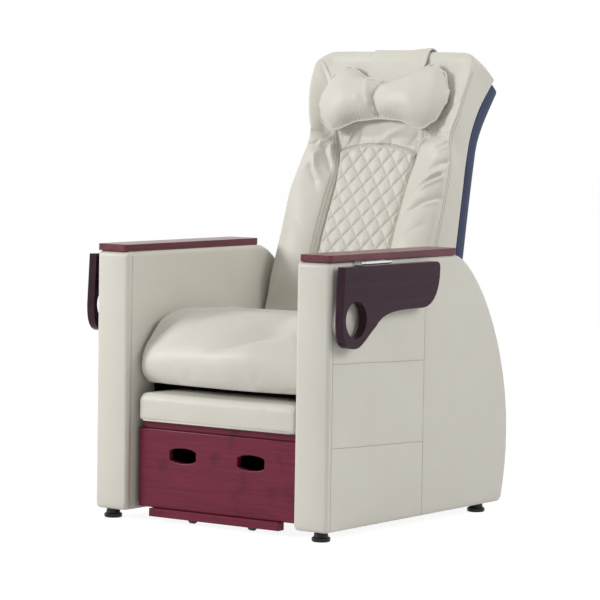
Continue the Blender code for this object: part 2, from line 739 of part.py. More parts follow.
def build_strut():
    """Gas strut standing in a cup on the cross rail, with its rod's eye round the lever pin."""
    foot = CROSS_RAIL_BOTTOM + CROSS_RAIL_HEIGHT + SEAT_GAP
    base = Vector((0.0, behind(STRUT_DEPTH), 0.0))
    cup_bore = STRUT_RADIUS + SEAT_GAP
    cup_outer = cup_bore + CUP_WALL
    flange = cup_outer + CUP_FLANGE
    body_bottom = foot + CUP_WALL + SEAT_GAP
    cup = [(0.0, foot + CUP_WALL), (cup_bore, foot + CUP_WALL), (cup_bore, foot + CUP_HEIGHT),
           (cup_outer, foot + CUP_HEIGHT), (cup_outer, foot + CUP_WALL), (flange, foot + CUP_WALL),
           (flange, foot), (0.0, foot)]
    turned("strut_foot_cup", cup, base, (0, 0, 1), steel, steps=20)
    bore = ROD_RADIUS + SEAT_GAP
    travel = 2 * LEVER_ARM * math.sin(math.radians(RECLINE_ANGLE / 2))
    bore_floor = STRUT_TOP - ROD_INSERT - travel - STRUT_FLOOR
    body = [(0.0, bore_floor), (bore, bore_floor), (bore, STRUT_TOP),
            (STRUT_RADIUS - STRUT_CHAMFER, STRUT_TOP),
            (STRUT_RADIUS, STRUT_TOP - STRUT_CHAMFER), (STRUT_RADIUS, body_bottom), (0.0, body_bottom)]
    turned("strut_cylinder", body, base, (0, 0, 1), black_plastic, steps=20)
    eye = lever_pin_point()
    eye_centre = (STRUT_DEPTH, eye[1])
    bore_radius = LEVER_PIN_RADIUS + EYE_PLAY
    bar_low = STRUT_TOP - ROD_INSERT
    bar_high = eye[1] - (bore_radius + EYE_RADIUS) / 2
    eye_ring = plate("strut_rod_eye", [circle(eye_centre, EYE_RADIUS), circle(eye_centre, bore_radius)],
                     EYE_WIDTH, side_plane(0.0), steel)
    bar = rod("strut_rod", base + Vector((0, 0, (bar_low + bar_high) / 2)), (0, 0, 1), ROD_RADIUS,
              bar_high - bar_low, steel)
    combine(bar, eye_ring, 'UNION')


def lever_pin_point():
    """Depth and height of the lever pin, half the recline above the level of the pivot."""
    angle = math.radians(RECLINE_ANGLE / 2)
    return PIVOT_DEPTH + LEVER_ARM * math.cos(angle), PIVOT_HEIGHT + LEVER_ARM * math.sin(angle)


# Backrest


def back_half_width(distance, front_length):
    """Drawn in at the waist crease, flared at the head."""
    waist = math.exp(-((distance - CREASE) / WAIST_LENGTH) ** 2)
    head = ease((distance - CREASE) / (front_length - CREASE))
    return BACK_HALF_WIDTH - BACK_WAIST_PULL * waist + BACK_HEAD_FLARE * head


def back_dish(distance):
    """How far the middle of the backrest lies behind the seam line of its sides."""
    sunk = PANEL_SINK * ease((distance - SINK_START) / SINK_EASE)
    return sunk - HEAD_RISE * ease((distance - CREASE) / HEAD_RISE_EASE)


def back_puff(share, distance, front_length):
    """Padding over the seam line; share runs from 0 at the quilt's edge to 1 at the outer seam."""
    fullness = ease((distance - BOLSTER_START) / BOLSTER_EASE)
    dish = back_dish(distance)
    outward = min(max(share, 0.0), 1.0)
    bolster = BOLSTER_PUFF * fullness * (1 - abs(2 * outward - 1) ** 2.2) ** 0.6
    bolster -= dish * (1 - ease(outward))
    head = ROLL_PUFF * ease((distance - front_length) / ROLL_PUFF_EASE) - dish
    head *= 1 - ease((share - HEAD_FLAT) / (1 - HEAD_FLAT))
    blend = ease((distance - CREASE + CREASE_RISE) / HEAD_EASE)
    dip = CREASE_DEPTH * math.exp(-((distance - CREASE) / CREASE_WIDTH) ** 2) * (1 - outward ** 4)
    rolled = 1.0 - ROLL_THINNING * ease((distance - front_length) / ROLL_EASE)
    return ((1 - blend) * bolster + blend * head) * rolled - dip


def back_columns():
    """Places across the backrest: quilted panel by half diamonds, bolsters crowded to their seams."""
    count = 2 * DIAMONDS_ACROSS
    panel = [(None, -QUILT_HALF_WIDTH + i * DIAMOND_WIDTH / 2) for i in range(count + 1)]
    shares = [(1 - math.cos(math.pi * i / 6)) / 2 for i in range(1, 7)]
    right = [(share, 1) for share in shares]
    left = [(share, -1) for share in reversed(shares)]
    return left, panel, right


def back_surface(front, front_length, across, distance, lift=0.0):
    """Point of the backrest's padded front at a place across and a distance along its seam line."""
    half = back_half_width(min(distance, front_length), front_length)
    share = (abs(across) - QUILT_HALF_WIDTH) / (half - QUILT_HALF_WIDTH)
    point, normal = walk(front, distance)
    crown = HEAD_CROWN * ease((distance - 0.80 * front_length) / (0.25 * front_length))
    crown *= 1 - min(abs(across) / half, 1.0) ** 10
    tail = ease((line_length(front) - distance) / HEAD_EASE)
    lean = math.radians(BACK_FRONT_LINE[-1][2])
    upward = Vector((math.sin(lean), math.cos(lean)))
    padded = point + normal * (back_puff(min(share, 1.0), distance, front_length) * tail + lift)
    padded += upward * crown * tail
    return Vector((across, behind(padded.x), padded.y))


def build_back_cushion():
    front = side_line(BACK_FRONT_LINE, 16)
    front_length = line_length(front)
    whole = front[:-1] + side_line(BACK_ROLL_LINE, 6)
    rear = rear_line()
    quilt_rows = 2 * DIAMONDS_UP
    quilt_end = QUILT_START + QUILT_LENGTH
    stops = [QUILT_START * i / 3 for i in range(3)]
    stops += [QUILT_START + i * DIAMOND_HEIGHT / 2 for i in range(quilt_rows + 1)]
    stops += [quilt_end + (front_length - quilt_end) * share for share in (0.13, 0.26, 0.45, 0.64, 0.83, 1.0)]
    roll = line_length(whole) - front_length
    stops += [front_length + roll * share for share in (0.16, 0.34, 0.60, 0.80, 1.0)]
    left, panel, right = back_columns()
    rings = []
    for share, position in left + panel + right:
        ring = []
        for row, distance in enumerate(stops):
            half = back_half_width(min(distance, front_length), front_length)
            across = position
            if share is not None:
                across = position * (QUILT_HALF_WIDTH + share * (half - QUILT_HALF_WIDTH))
            lift = 0.0
            quilted = 3 < row < 3 + quilt_rows and abs(position) < QUILT_HALF_WIDTH - 0.25 * DIAMOND_WIDTH
            if share is None and quilted and not is_crossing(panel.index((share, position)), row - 3):
                lift = DIAMOND_PUFF
            ring.append(back_surface(whole, front_length, across, distance, lift))
        outer = ring[0].x
        for depth, height in reversed(rear[:-1]):
            ring.append(Vector((outer, behind(depth), height)))
        rings.append(ring)
    first = len(left)

    def is_ridge(column, row):
        inside = first <= column < first + 2 * DIAMONDS_ACROSS and 3 <= row <= 3 + quilt_rows
        return inside and is_crossing(column - first, row - 3)

    loft("back_cushion", rings, cream_leather, PIVOT, is_ridge)


def is_crossing(column, row):
    return (column + row) % 2 == 0


def build_back_board():
    """Curved plywood board that the shell covers; its tail carries the hinge links and the lever."""
    face = board_face(BOARD_TOP_GAP)
    front = offset_line(face, SEAT_GAP)
    rear = offset_line(face, SEAT_GAP + BOARD_THICKNESS)
    plate("back_board", [rear + front[::-1]], 2 * BOARD_HALF_WIDTH, side_plane(0.0), plywood, PIVOT)
    return front


def build_back_shell():
    line = rear_line()
    gap = SEAT_GAP
    outer = offset_line(line, SHELL_THICKNESS)
    inner = offset_line(line, gap)
    shell = plate("back_shell", [outer + inner[::-1]], 2 * SHELL_HALF_WIDTH, side_plane(0.0),
                  navy_leather, PIVOT)
    face = board_face(BOARD_TOP_GAP - POCKET_END_GAP)
    pocket_front = offset_line(face, -BOARD_THICKNESS)
    pocket_rear = offset_line(face, BOARD_THICKNESS + 2 * gap)
    pocket = plate("board_pocket", [pocket_rear + pocket_front[::-1]], 2 * (BOARD_HALF_WIDTH + gap),
                   side_plane(0.0), navy_leather)
    round_edges(shell, SHELL_EDGE, segments=2, angle=50.0)
    combine(shell, pocket, 'DIFFERENCE')


def build_hinge_links(front):
    """Links on the board's edges and the strut lever on its face."""
    tail = Vector(front[0])
    top = Vector(front[1])
    along = (top - tail).normalized()
    rearward = Vector((along.y, -along.x))
    low = tail + along * LINK_MARGIN
    high = top - along * LINK_MARGIN
    pivot = Vector((PIVOT_DEPTH, PIVOT_HEIGHT))
    end = arc(pivot, LINK_RADIUS, 100.0, 270.0, 10)
    outline = [tuple(low + rearward * BOARD_THICKNESS), tuple(high + rearward * BOARD_THICKNESS), tuple(high)]
    outline += end + [tuple(low)]
    hole = circle(pivot, PIVOT_RADIUS + RUNNING_GAP, 16)
    for name, side in (("left", -1), ("right", 1)):
        across = side * (BOARD_HALF_WIDTH + SEAT_GAP + LINK_THICKNESS / 2)
        plate(f"{name}_back_link", [outline[::-1], hole], LINK_THICKNESS, side_plane(across), steel, PIVOT)
    pin = Vector(lever_pin_point())
    seat = SEAT_GAP * rearward
    ear_low = tuple(tail + along * LINK_MARGIN - seat)
    ear_high = tuple(top - along * LINK_MARGIN - seat)
    ear = [ear_low, ear_high] + arc(pin, LEVER_RADIUS, 80.0, 240.0, 8)
    hole = circle(pin, LEVER_PIN_RADIUS + SEAT_GAP, 16)
    lever = plate("strut_lever", [ear, hole], LEVER_WIDTH, side_plane(0.0), steel, PIVOT)
    slot_half = EYE_WIDTH / 2 + RUNNING_GAP
    slot_rear = PIVOT_DEPTH + LEVER_ARM + EYE_RADIUS + LEVER_SLOT_MARGIN
    slot = block("lever_slot", (-slot_half, PIVOT_DEPTH, PIVOT_HEIGHT - LEVER_ARM),
                 (slot_half, slot_rear, PIVOT_HEIGHT + LEVER_ARM), steel)
    combine(lever, slot, 'DIFFERENCE')
    pin_centre = Vector((0.0, behind(pin.x), pin.y))
    rod("strut_lever_pin", pin_centre, (1, 0, 0), LEVER_PIN_RADIUS, LEVER_WIDTH, steel, PIVOT)


def build_pillow():
    """Butterfly pillow with a sewn edge, lying against the head of the backrest."""
    front = side_line(BACK_FRONT_LINE, 16)
    point, normal = walk(front, PILLOW_CENTRE)
    upward = Vector((normal.y, -normal.x))
    seat = -back_dish(PILLOW_CENTRE) - PILLOW_SINK
    around = [2 * math.pi * i / 16 for i in range(16)]
    rings = []
    for i in range(-8, 9):
        share = math.sin(math.pi / 2 * i / 8)
        top = PILLOW_WING_RISE * along_knots(PILLOW_TOP_SHARES, abs(share))
        bottom = PILLOW_WING_RISE * along_knots(PILLOW_BOTTOM_SHARES, abs(share))
        full = PILLOW_THICKNESS * along_knots(PILLOW_FILL_SHARES, abs(share))
        ring = []
        for angle in around:
            up = (top + bottom) / 2 + (top - bottom) / 2 * math.cos(angle)
            swell = math.sin(angle)
            out = PILLOW_THICKNESS * PILLOW_REAR_SHARE
            out += full * swell * (1 - PILLOW_REAR_SHARE if swell > 0 else PILLOW_REAR_SHARE)
            place_2d = point + upward * up + normal * (seat + out)
            across = share * PILLOW_HALF_WIDTH + PILLOW_SHIFT
            ring.append(Vector((across, behind(place_2d.x), place_2d.y)))
        rings.append(ring)
    loft("headrest_pillow", rings, cream_leather, PIVOT)


def build_flap():
    """Leather flap that carries the pillow over the top edge."""
    front = side_line(BACK_FRONT_LINE, 16)
    front_length = line_length(front)
    whole = front[:-1] + side_line(BACK_ROLL_LINE, 6)
    start = PILLOW_CENTRE + FLAP_START
    end = front_length + FLAP_REACH
    rings = []
    for i in range(11):
        distance = start + (end - start) * i / 10
        under = []
        over = []
        for j in range(7):
            across = FLAP_SHIFT + FLAP_WIDTH * (j / 6 - 0.5)
            under.append(back_surface(whole, front_length, across, distance, FLAP_LIFT))
            over.append(back_surface(whole, front_length, across, distance, FLAP_LIFT + FLAP_THICKNESS))
        rings.append(under + over[::-1])
    loft("pillow_flap", rings, cream_leather, PIVOT)


# Side trays


def tray_outline():
    """Board hung by its straight top edge, swept down at the front into a loop round the cup hole."""
    centre = (CUP_DEPTH, TRAY_TOP - CUP_DROP)
    shelf = TRAY_TOP - TRAY_SHELF
    loop_front = CUP_DEPTH - CUP_LOOP_FRONT
    loop_rear = CUP_DEPTH + CUP_LOOP_RADIUS
    loop_bottom = centre[1] - CUP_LOOP_RADIUS
    tail_start = TRAY_REAR - TRAY_TAIL
    neck = loop_rear + (tail_start - loop_rear) * 0.12
    sink = shelf - loop_bottom
    outline = [(TRAY_FRONT, TRAY_TOP)]
    outline += arc((TRAY_REAR - TRAY_CORNER, TRAY_TOP - TRAY_CORNER), TRAY_CORNER, 90.0, 0.0, 4)
    outline += bezier((TRAY_REAR, TRAY_TOP - 2 * TRAY_SLOPE), (TRAY_REAR, shelf + TRAY_SHELF * 0.32),
                      (TRAY_REAR - TRAY_TAIL * 0.4, shelf), (tail_start, shelf), 7)
    outline += bezier((tail_start - TRAY_SLOPE, shelf), (loop_rear + TRAY_TAIL * 1.5, shelf),
                      (loop_rear + TRAY_TAIL * 0.83, shelf), (neck, shelf - sink * 0.3), 7)
    outline += bezier((neck - TRAY_SLOPE, shelf - sink * 0.4),
                      (loop_rear - CUP_LOOP_RADIUS * 0.35, shelf - sink * 0.72),
                      (CUP_DEPTH + CUP_LOOP_RADIUS * 0.35, loop_bottom), (CUP_DEPTH, loop_bottom), 6)
    outline += bezier((CUP_DEPTH - TRAY_SLOPE, loop_bottom),
                      (loop_front + CUP_LOOP_FRONT * 0.12, loop_bottom),
                      (loop_front, centre[1] - CUP_LOOP_RADIUS * 0.6), (loop_front, centre[1]), 6)
    return outline, centre


def build_trays():
    outline, centre = tray_outline()
    hole = circle(centre, CUP_HOLE_RADIUS, 28)
    face = ARM_SPAN / 2 + SEAT_GAP
    axis_out = ARM_SPAN / 2 + HINGE_OUT
    axis_height = TRAY_TOP + HINGE_RISE
    hinge_middle = HINGE_FRONT + HINGE_LENGTH / 2
    for name, side in (("left", -1), ("right", 1)):
        pivot = Vector((side * axis_out, behind(hinge_middle), axis_height))
        across = side * (ARM_SPAN / 2 + TRAY_OFFSET + TRAY_THICKNESS / 2)
        board = plate(f"{name}_tray", [outline[::-1], hole], TRAY_THICKNESS, side_plane(across),
                      tray_lacquer, pivot)
        round_edges(board, TRAY_EDGE, segments=2)
        build_tray_bracket(name, side, face, pivot)
        build_tray_leaf(name, side, pivot)


def build_tray_bracket(name, side, face, pivot):
    """Plate on the arm with a lug at each end, and the pin between them."""
    high = pivot.z + HINGE_KNUCKLE_RADIUS - SEAT_GAP
    lug_radius = HINGE_KNUCKLE_RADIUS - 2 * SEAT_GAP
    low_x, high_x = sorted((side * face, side * (face + HINGE_PLATE)))
    bracket = block(f"{name}_tray_bracket", (low_x, HINGE_FRONT, high - HINGE_PLATE_DROP),
                    (high_x, HINGE_FRONT + HINGE_LENGTH, high), chrome)
    out = abs(pivot.x)
    for end, start in (("front", HINGE_FRONT), ("rear", HINGE_FRONT + HINGE_LENGTH - HINGE_LUG)):
        root = side * (face + HINGE_PLATE / 2)
        lug = [(root, pivot.z + lug_radius), (root, pivot.z - lug_radius)]
        nose = arc((side * out, pivot.z), lug_radius, -90.0, 90.0, 6)
        lug += nose if side > 0 else [(2 * pivot.x - u, v) for u, v in nose]
        loops = [lug, circle((pivot.x, pivot.z), HINGE_PIN_RADIUS + SEAT_GAP, 12)]
        ear = plate(f"{name}_{end}_lug", loops, HINGE_LUG, front_plane(start + HINGE_LUG / 2), chrome)
        combine(bracket, ear, 'UNION')
    rod(f"{name}_tray_pin", pivot, (0, 1, 0), HINGE_PIN_RADIUS, HINGE_LENGTH - HINGE_PLATE, chrome, steps=12)


def build_tray_leaf(name, side, pivot):
    """Knuckle tube between the lugs, with a leaf that lies on the inner face of the tray."""
    inner_face = ARM_SPAN / 2 + TRAY_OFFSET - SEAT_GAP
    start = HINGE_FRONT + HINGE_LUG + RUNNING_GAP
    end = HINGE_FRONT + HINGE_LENGTH - HINGE_LUG - RUNNING_GAP
    centre = (pivot.x, pivot.z)
    loops = [circle(centre, HINGE_KNUCKLE_RADIUS, 20), circle(centre, HINGE_PIN_RADIUS + SEAT_GAP, 12)]
    tube = plate(f"{name}_tray_leaf", loops, end - start, front_plane((start + end) / 2), chrome, pivot)
    low_x, high_x = sorted((side * (inner_face - HINGE_PLATE), side * inner_face))
    leaf_top = pivot.z - (HINGE_PIN_RADIUS + HINGE_KNUCKLE_RADIUS) / 2
    leaf = block(f"{name}_leaf_plate", (low_x, start, TRAY_TOP - HINGE_PLATE_DROP),
                 (high_x, end, leaf_top), chrome)
    reach_low, reach_high = sorted((side * (inner_face - HINGE_PLATE), pivot.x))
    web = block(f"{name}_leaf_web", (reach_low, start, TRAY_TOP + SEAT_GAP),
                (reach_high, end, leaf_top), chrome)
    combine(tube, leaf, 'UNION')
    combine(tube, web, 'UNION')


# Foot box


def hand_hole(across):
    """Finger hole with short upright ends and bowed top and bottom edges."""
    half_width = HAND_HOLE_WIDTH / 2
    half_end = HAND_HOLE_END / 2
    bow = HAND_HOLE_HEIGHT / 2
    handle = half_end + (bow - half_end) * 4 / 3
    top = bezier((half_width, half_end), (half_width * 0.6, handle), (-half_width * 0.6, handle),
                 (-half_width, half_end), 8)
    bottom = [(-u, -v) for u, v in top]
    return [(across + u, HAND_HOLE_LEVEL + v) for u, v in top + bottom]


def build_foot_box():
    half = BOX_HALF_WIDTH
    inside_front = BOX_FRONT + PANEL_THICKNESS + SEAT_GAP
    top = PANEL_TOP - SEAT_GAP
    loops = [rectangle(-half, BOX_BOTTOM, half, PANEL_TOP)]
    loops += [hand_hole(side * HAND_HOLE_ACROSS) for side in (-1, 1)]
    panel_plane = front_plane(BOX_FRONT + PANEL_THICKNESS / 2)
    panel = plate("box_front_panel", loops, PANEL_THICKNESS, panel_plane, mahogany)
    round_edges(panel, PANEL_EDGE, segments=1, angle=60.0)
    for name, side in (("left", -1), ("right", 1)):
        low, high = sorted((side * (half - BOARD), side * half))
        block(f"box_{name}_side", (low, inside_front, BOX_BOTTOM), (high, BOX_REAR, top), mahogany)
    between = half - BOARD - SEAT_GAP
    block("box_rear_panel", (-between, BOX_REAR - BOARD, BOX_BOTTOM), (between, BOX_REAR, top), mahogany)
    block("box_floor", (-between, inside_front, BOX_BOTTOM),
          (between, BOX_REAR - BOARD - SEAT_GAP, BOX_BOTTOM + BOARD), mahogany)
    board_half = half - TOP_BOARD_INSET
    board_top = PANEL_TOP + SEAT_GAP + TOP_BOARD_THICKNESS
    block("box_top_board", (-board_half, BOX_FRONT + TOP_BOARD_INSET, PANEL_TOP + SEAT_GAP),
          (board_half, BOX_REAR, board_top), mahogany)
    plinth_half = half - PLINTH_SIDE_INSET
    block("box_plinth", (-plinth_half, PLINTH_FRONT, PLINTH_BOTTOM),
          (plinth_half, PLINTH_FRONT + PLINTH_THICKNESS, BOX_BOTTOM - SEAT_GAP), mahogany, edge=PANEL_EDGE)
    build_footrest_pad(board_top + SEAT_GAP)


def build_footrest_pad(bottom):
    """Crowned pad on the box, its sides drawn in above a sewn edge."""
    height = PAD_TOP - bottom
    half_width = BOX_HALF_WIDTH - PAD_SIDE_INSET
    rear = BOX_REAR
    rings = []
    for share in (-1.0, -0.985, -0.93, -0.75, -0.4, 0.0, 0.4, 0.75, 0.93, 0.985, 1.0):
        swell = 1 - share ** 4
        inset = PAD_END_ROUND * (1 - math.sqrt(1 - min(abs(share), 0.999) ** 24))
        crown = PAD_CROWN * swell
        front = PAD_FRONT - PAD_BULGE * swell
        length = rear - front
        top = bottom + height
        ring = [(rear, bottom), (front + PAD_BULGE, bottom), (front, bottom + 0.10 * height),
                (front + PAD_BULGE / 2, bottom + 0.45 * height), (front, bottom + 0.78 * height),
                (front + PAD_FRONT_ROUND, top), (front + 0.10 * length, top + 0.45 * crown),
                (front + 0.30 * length, top + 0.90 * crown), (front + 0.50 * length, top + crown),
                (front + 0.80 * length, top + 0.80 * crown), (rear - PAD_FRONT_ROUND, top),
                (rear, bottom + 0.75 * height)]
        section = []
        for depth, level in ring:
            lowered = level - inset * ease((level - bottom) / height)
            section.append(Vector((share * half_width, behind(depth), lowered)))
        rings.append(section)
    loft("footrest_pad", rings, cream_leather)


def build_casters():
    """Fixed forks under the box floor, each with a wheel on the axle that is part of its fork."""
    top = BOX_BOTTOM - SEAT_GAP
    half = WHEEL_WIDTH / 2 + RUNNING_GAP
    outer = half + FORK_CHEEK
    for end, depth in (("front", CASTER_FRONT), ("rear", CASTER_REAR)):
        for name, side in (("left", -1), ("right", 1)):
            across = side * CASTER_ACROSS
            centre = Vector((across, behind(depth), WHEEL_CENTRE))
            low = WHEEL_CENTRE - 2 * AXLE_RADIUS
            yoke = [(-outer, low), (-half, low), (-half, top - FORK_PLATE), (half, top - FORK_PLATE),
                    (half, low), (outer, low), (outer, top), (-outer, top)]
            yoke = [(across + u, v) for u, v in yoke]
            fork = plate(f"{end}_{name}_fork", [yoke], FORK_LENGTH, front_plane(depth), steel)
            axle = rod(f"{end}_{name}_axle", centre, (1, 0, 0), AXLE_RADIUS, 2 * half + FORK_CHEEK,
                       steel, steps=12)
            combine(fork, axle, 'UNION')
            build_wheel(f"{end}_{name}_wheel", centre)


def build_wheel(name, centre):
    bore = AXLE_RADIUS + SEAT_GAP
    half = WHEEL_WIDTH / 2
    web = half - WHEEL_RECESS
    rim = WHEEL_RADIUS - WHEEL_RECESS
    upper = [(bore, half), (WHEEL_HUB, half), (WHEEL_HUB + WHEEL_RECESS, web), (rim - WHEEL_RECESS, web),
             (rim, half - WHEEL_RECESS / 2), (WHEEL_RADIUS, half - 2 * WHEEL_RECESS)]
    profile = upper + [(radius, -height) for radius, height in reversed(upper)] + upper[:1]
    turned(name, profile, centre, (1, 0, 0), black_plastic, centre, steps=18)


build_arms()
build_seat()
build_rear()
board_front = build_back_board()
build_back_shell()
build_back_cushion()
build_hinge_links(board_front)
build_pillow()
build_flap()
build_trays()
build_foot_box()
build_casters()
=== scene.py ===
import json
import math

import bmesh
import bpy
import numpy as np
from mathutils import Matrix, Vector, noise
from mathutils.bvhtree import BVHTree
from mathutils.geometry import interpolate_bezier


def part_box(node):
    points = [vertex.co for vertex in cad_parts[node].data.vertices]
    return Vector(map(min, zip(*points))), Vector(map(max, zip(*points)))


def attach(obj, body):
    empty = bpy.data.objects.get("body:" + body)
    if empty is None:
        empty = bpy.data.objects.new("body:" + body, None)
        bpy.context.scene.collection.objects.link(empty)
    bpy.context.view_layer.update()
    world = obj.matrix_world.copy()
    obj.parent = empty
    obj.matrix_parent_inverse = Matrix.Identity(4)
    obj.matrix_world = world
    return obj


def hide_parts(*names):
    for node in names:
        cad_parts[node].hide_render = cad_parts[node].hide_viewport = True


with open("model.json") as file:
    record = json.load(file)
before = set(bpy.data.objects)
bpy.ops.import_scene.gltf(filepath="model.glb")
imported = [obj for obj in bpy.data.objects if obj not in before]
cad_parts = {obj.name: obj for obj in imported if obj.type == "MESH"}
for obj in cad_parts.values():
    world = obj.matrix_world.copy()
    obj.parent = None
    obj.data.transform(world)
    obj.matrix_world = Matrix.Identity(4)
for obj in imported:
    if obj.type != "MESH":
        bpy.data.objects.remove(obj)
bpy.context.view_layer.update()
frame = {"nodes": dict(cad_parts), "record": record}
nodes = frame["nodes"]
scene = bpy.context.scene
scene.view_settings.view_transform = 'Standard'
print("frame loaded:", len(nodes), "nodes")

# camera and studio

photoView = {
    "place": (4.4035, -6.3324, 1.0671),
    "turn": 35.17,  # degrees round from the chair's front
    "drop": 3.95,  # degrees it looks down
    "roll": 0.91,
    "lens": 183.8,  # mm
    "sensor": 36.0,
    "clipEnd": 200.0,
}


def makeCamera():
    turn, drop, roll = (math.radians(photoView[key]) for key in ("turn", "drop", "roll"))
    camera = bpy.data.objects.new("photoCamera", bpy.data.cameras.new("photoCamera"))
    camera.data.lens = photoView["lens"]
    camera.data.sensor_width = photoView["sensor"]
    camera.matrix_world = (Matrix.Translation(photoView["place"]) @ Matrix.Rotation(turn, 4, 'Z')
                           @ Matrix.Rotation(math.pi / 2 - drop, 4, 'X') @ Matrix.Rotation(roll, 4, 'Z'))
    camera.data.clip_end = photoView["clipEnd"]
    scene.collection.objects.link(camera)
    scene.camera = camera


def linear(hexCode):
    channels = [int(hexCode[i:i + 2], 16) / 255 for i in (1, 3, 5)]
    return tuple(c / 12.92 if c <= 0.04045 else ((c + 0.055) / 1.055) ** 2.4 for c in channels) + (1.0,)


def addNode(tree, kind, settings, links):
    node = tree.nodes.new("ShaderNode" + kind)
    for name, value in settings.items():
        if isinstance(name, int) or name in node.inputs:
            node.inputs[name].default_value = value
        else:
            setattr(node, name, value)
    for name, source in links.items():
        tree.links.new(source, node.inputs[name])
    return node


def meshFrom(name, bm):
    mesh = bpy.data.meshes.new(name)
    bm.to_mesh(mesh)
    bm.free()
    return mesh


def gridMesh(name, columns, rows, half=1.0):
    bm = bmesh.new()
    bmesh.ops.create_grid(bm, x_segments=columns, y_segments=rows, size=half)
    return meshFrom(name, bm)


studio = {
    "floorSize": 60.0,
    "floorColour": "#F4F4F4",
    "floorShare": 0.25,  # how much of the lit floor shows under the white
    "floorWhite": 1.22,  # makes up for the share of the lit floor
    "skyLight": 0.34,
    "aim": (0.0, 0.0, 0.55),
    "lamps": {  # place, size in metres, watts
        "keyLamp": ((-3.75, -3.7, 2.6), 1.8, 205.0),
        "fillLamp": ((4.4, 0.7, 2.9), 2.4, 98.0),
        "topLamp": ((0.4, -0.8, 4.2), 2.0, 30.0),
    },
}


def backdropRays(tree):
    # 1 for a ray that meets the backdrop straight from the camera, in a mirror or through glass
    path = addNode(tree, "LightPath", {}, {})
    seen = path.outputs["Is Camera Ray"]
    for ray in ("Is Glossy Ray", "Is Transmission Ray"):
        either = addNode(tree, "Math", {"operation": 'MAXIMUM'}, {0: seen, 1: path.outputs[ray]})
        seen = either.outputs[0]
    return seen


def makeStudio():
    mesh = gridMesh("studioFloor", 1, 1, studio["floorSize"] / 2)
    floor = bpy.data.objects.new("studioFloor", mesh)
    scene.collection.objects.link(floor)
    paint = bpy.data.materials.new("paleFloor")
    paint.use_nodes = True
    tree = paint.node_tree
    tree.nodes.clear()
    white = addNode(tree, "Math", {"operation": 'MULTIPLY', 1: 1.0 - studio["floorShare"]},
                    {0: backdropRays(tree)})
    matt = addNode(tree, "BsdfDiffuse", {"Color": linear(studio["floorColour"])}, {})
    glow = addNode(tree, "Emission", {"Color": (1, 1, 1, 1), "Strength": studio["floorWhite"]}, {})
    mix = addNode(tree, "MixShader", {},
                  {0: white.outputs[0], 1: matt.outputs[0], 2: glow.outputs[0]})
    addNode(tree, "OutputMaterial", {}, {"Surface": mix.outputs[0]})
    mesh.materials.append(paint)

    world = bpy.data.worlds.new("whiteStudio")
    scene.world = world
    world.use_nodes = True
    tree = world.node_tree
    tree.nodes.clear()
    strength = addNode(tree, "MapRange", {"To Min": studio["skyLight"], "To Max": 1.0},
                       {"Value": backdropRays(tree)})
    sky = addNode(tree, "Background", {"Color": (1, 1, 1, 1)}, {"Strength": strength.outputs[0]})
    addNode(tree, "OutputWorld", {}, {"Surface": sky.outputs[0]})

    for name, (place, size, watts) in studio["lamps"].items():
        lamp = bpy.data.lights.new(name, 'AREA')
        lamp.shape = 'DISK'
        lamp.size = size
        lamp.energy = watts
        holder = bpy.data.objects.new(name, lamp)
        holder.location = place
        aim = Vector(studio["aim"]) - Vector(place)
        holder.rotation_euler = aim.to_track_quat('-Z', 'Y').to_euler()
        scene.collection.objects.link(holder)


makeCamera()
makeStudio()
print("camera and studio set")

# materials


def startMaterial(name, look):
    material = bpy.data.materials.new(name)
    material.use_nodes = True
    shader = material.node_tree.nodes["Principled BSDF"]
    for socket, value in look["shader"].items():
        shader.inputs[socket].default_value = value
    coords = addNode(material.node_tree, "TexCoord", {}, {})
    return material, material.node_tree, shader, coords.outputs["Object"]


def noiseOf(tree, place, sizeMm, detail):
    settings = {"Scale": 1000 / sizeMm, "Detail": detail}
    return addNode(tree, "TexNoise", settings, {"Vector": place}).outputs["Fac"]


def toneFrom(tree, look, pattern):
    light, deep = map(linear, look["tones"])
    return addNode(tree, "Mix", {"data_type": 'RGBA', 6: light, 7: deep}, {0: pattern}).outputs[2]


def finishSurface(tree, shader, look, colour, pattern, height, reliefMm):
    smooth, rough = look["sheen"]
    gloss = addNode(tree, "MapRange", {"To Min": smooth, "To Max": rough}, {"Value": pattern})
    bump = addNode(tree, "Bump", {"Strength": look["bump"], "Distance": reliefMm / 1000}, {"Height": height})
    for socket, source in (("Base Color", colour), ("Roughness", gloss.outputs[0]), ("Normal", bump.outputs[0])):
        tree.links.new(source, shader.inputs[socket])


def leatherMaterial(name, look):
    material, tree, shader, place = startMaterial(name, look)
    pebbles = addNode(tree, "TexVoronoi", {"Scale": 1000 / look["pebbleMm"]}, {"Vector": place})
    pores = noiseOf(tree, place, look["poreMm"], 3.0)
    tone = toneFrom(tree, look, noiseOf(tree, place, look["patchMm"], 2.0))
    speck = addNode(tree, "MapRange", {"From Max": 0.5, "To Min": 0.93, "To Max": 1.0},
                    {"Value": pebbles.outputs["Distance"]})
    shaded = addNode(tree, "Mix", {"data_type": 'RGBA', "blend_type": 'MULTIPLY', 0: 1.0},
                     {6: tone, 7: speck.outputs[0]})
    height = addNode(tree, "Math", {"operation": 'MULTIPLY_ADD', 1: 0.35},
                     {0: pores, 2: pebbles.outputs["Distance"]})
    finishSurface(tree, shader, look, shaded.outputs[2], pores, height.outputs[0], look["pebbleMm"] / 5)
    return material


woodReliefMm = 0.3


def grainNoise(tree, place, stretch, settings):
    laid = addNode(tree, "Mapping", {"Scale": stretch}, {"Vector": place})
    return addNode(tree, "TexNoise", {"Scale": 1.0, **settings}, {"Vector": laid.outputs[0]}).outputs["Fac"]


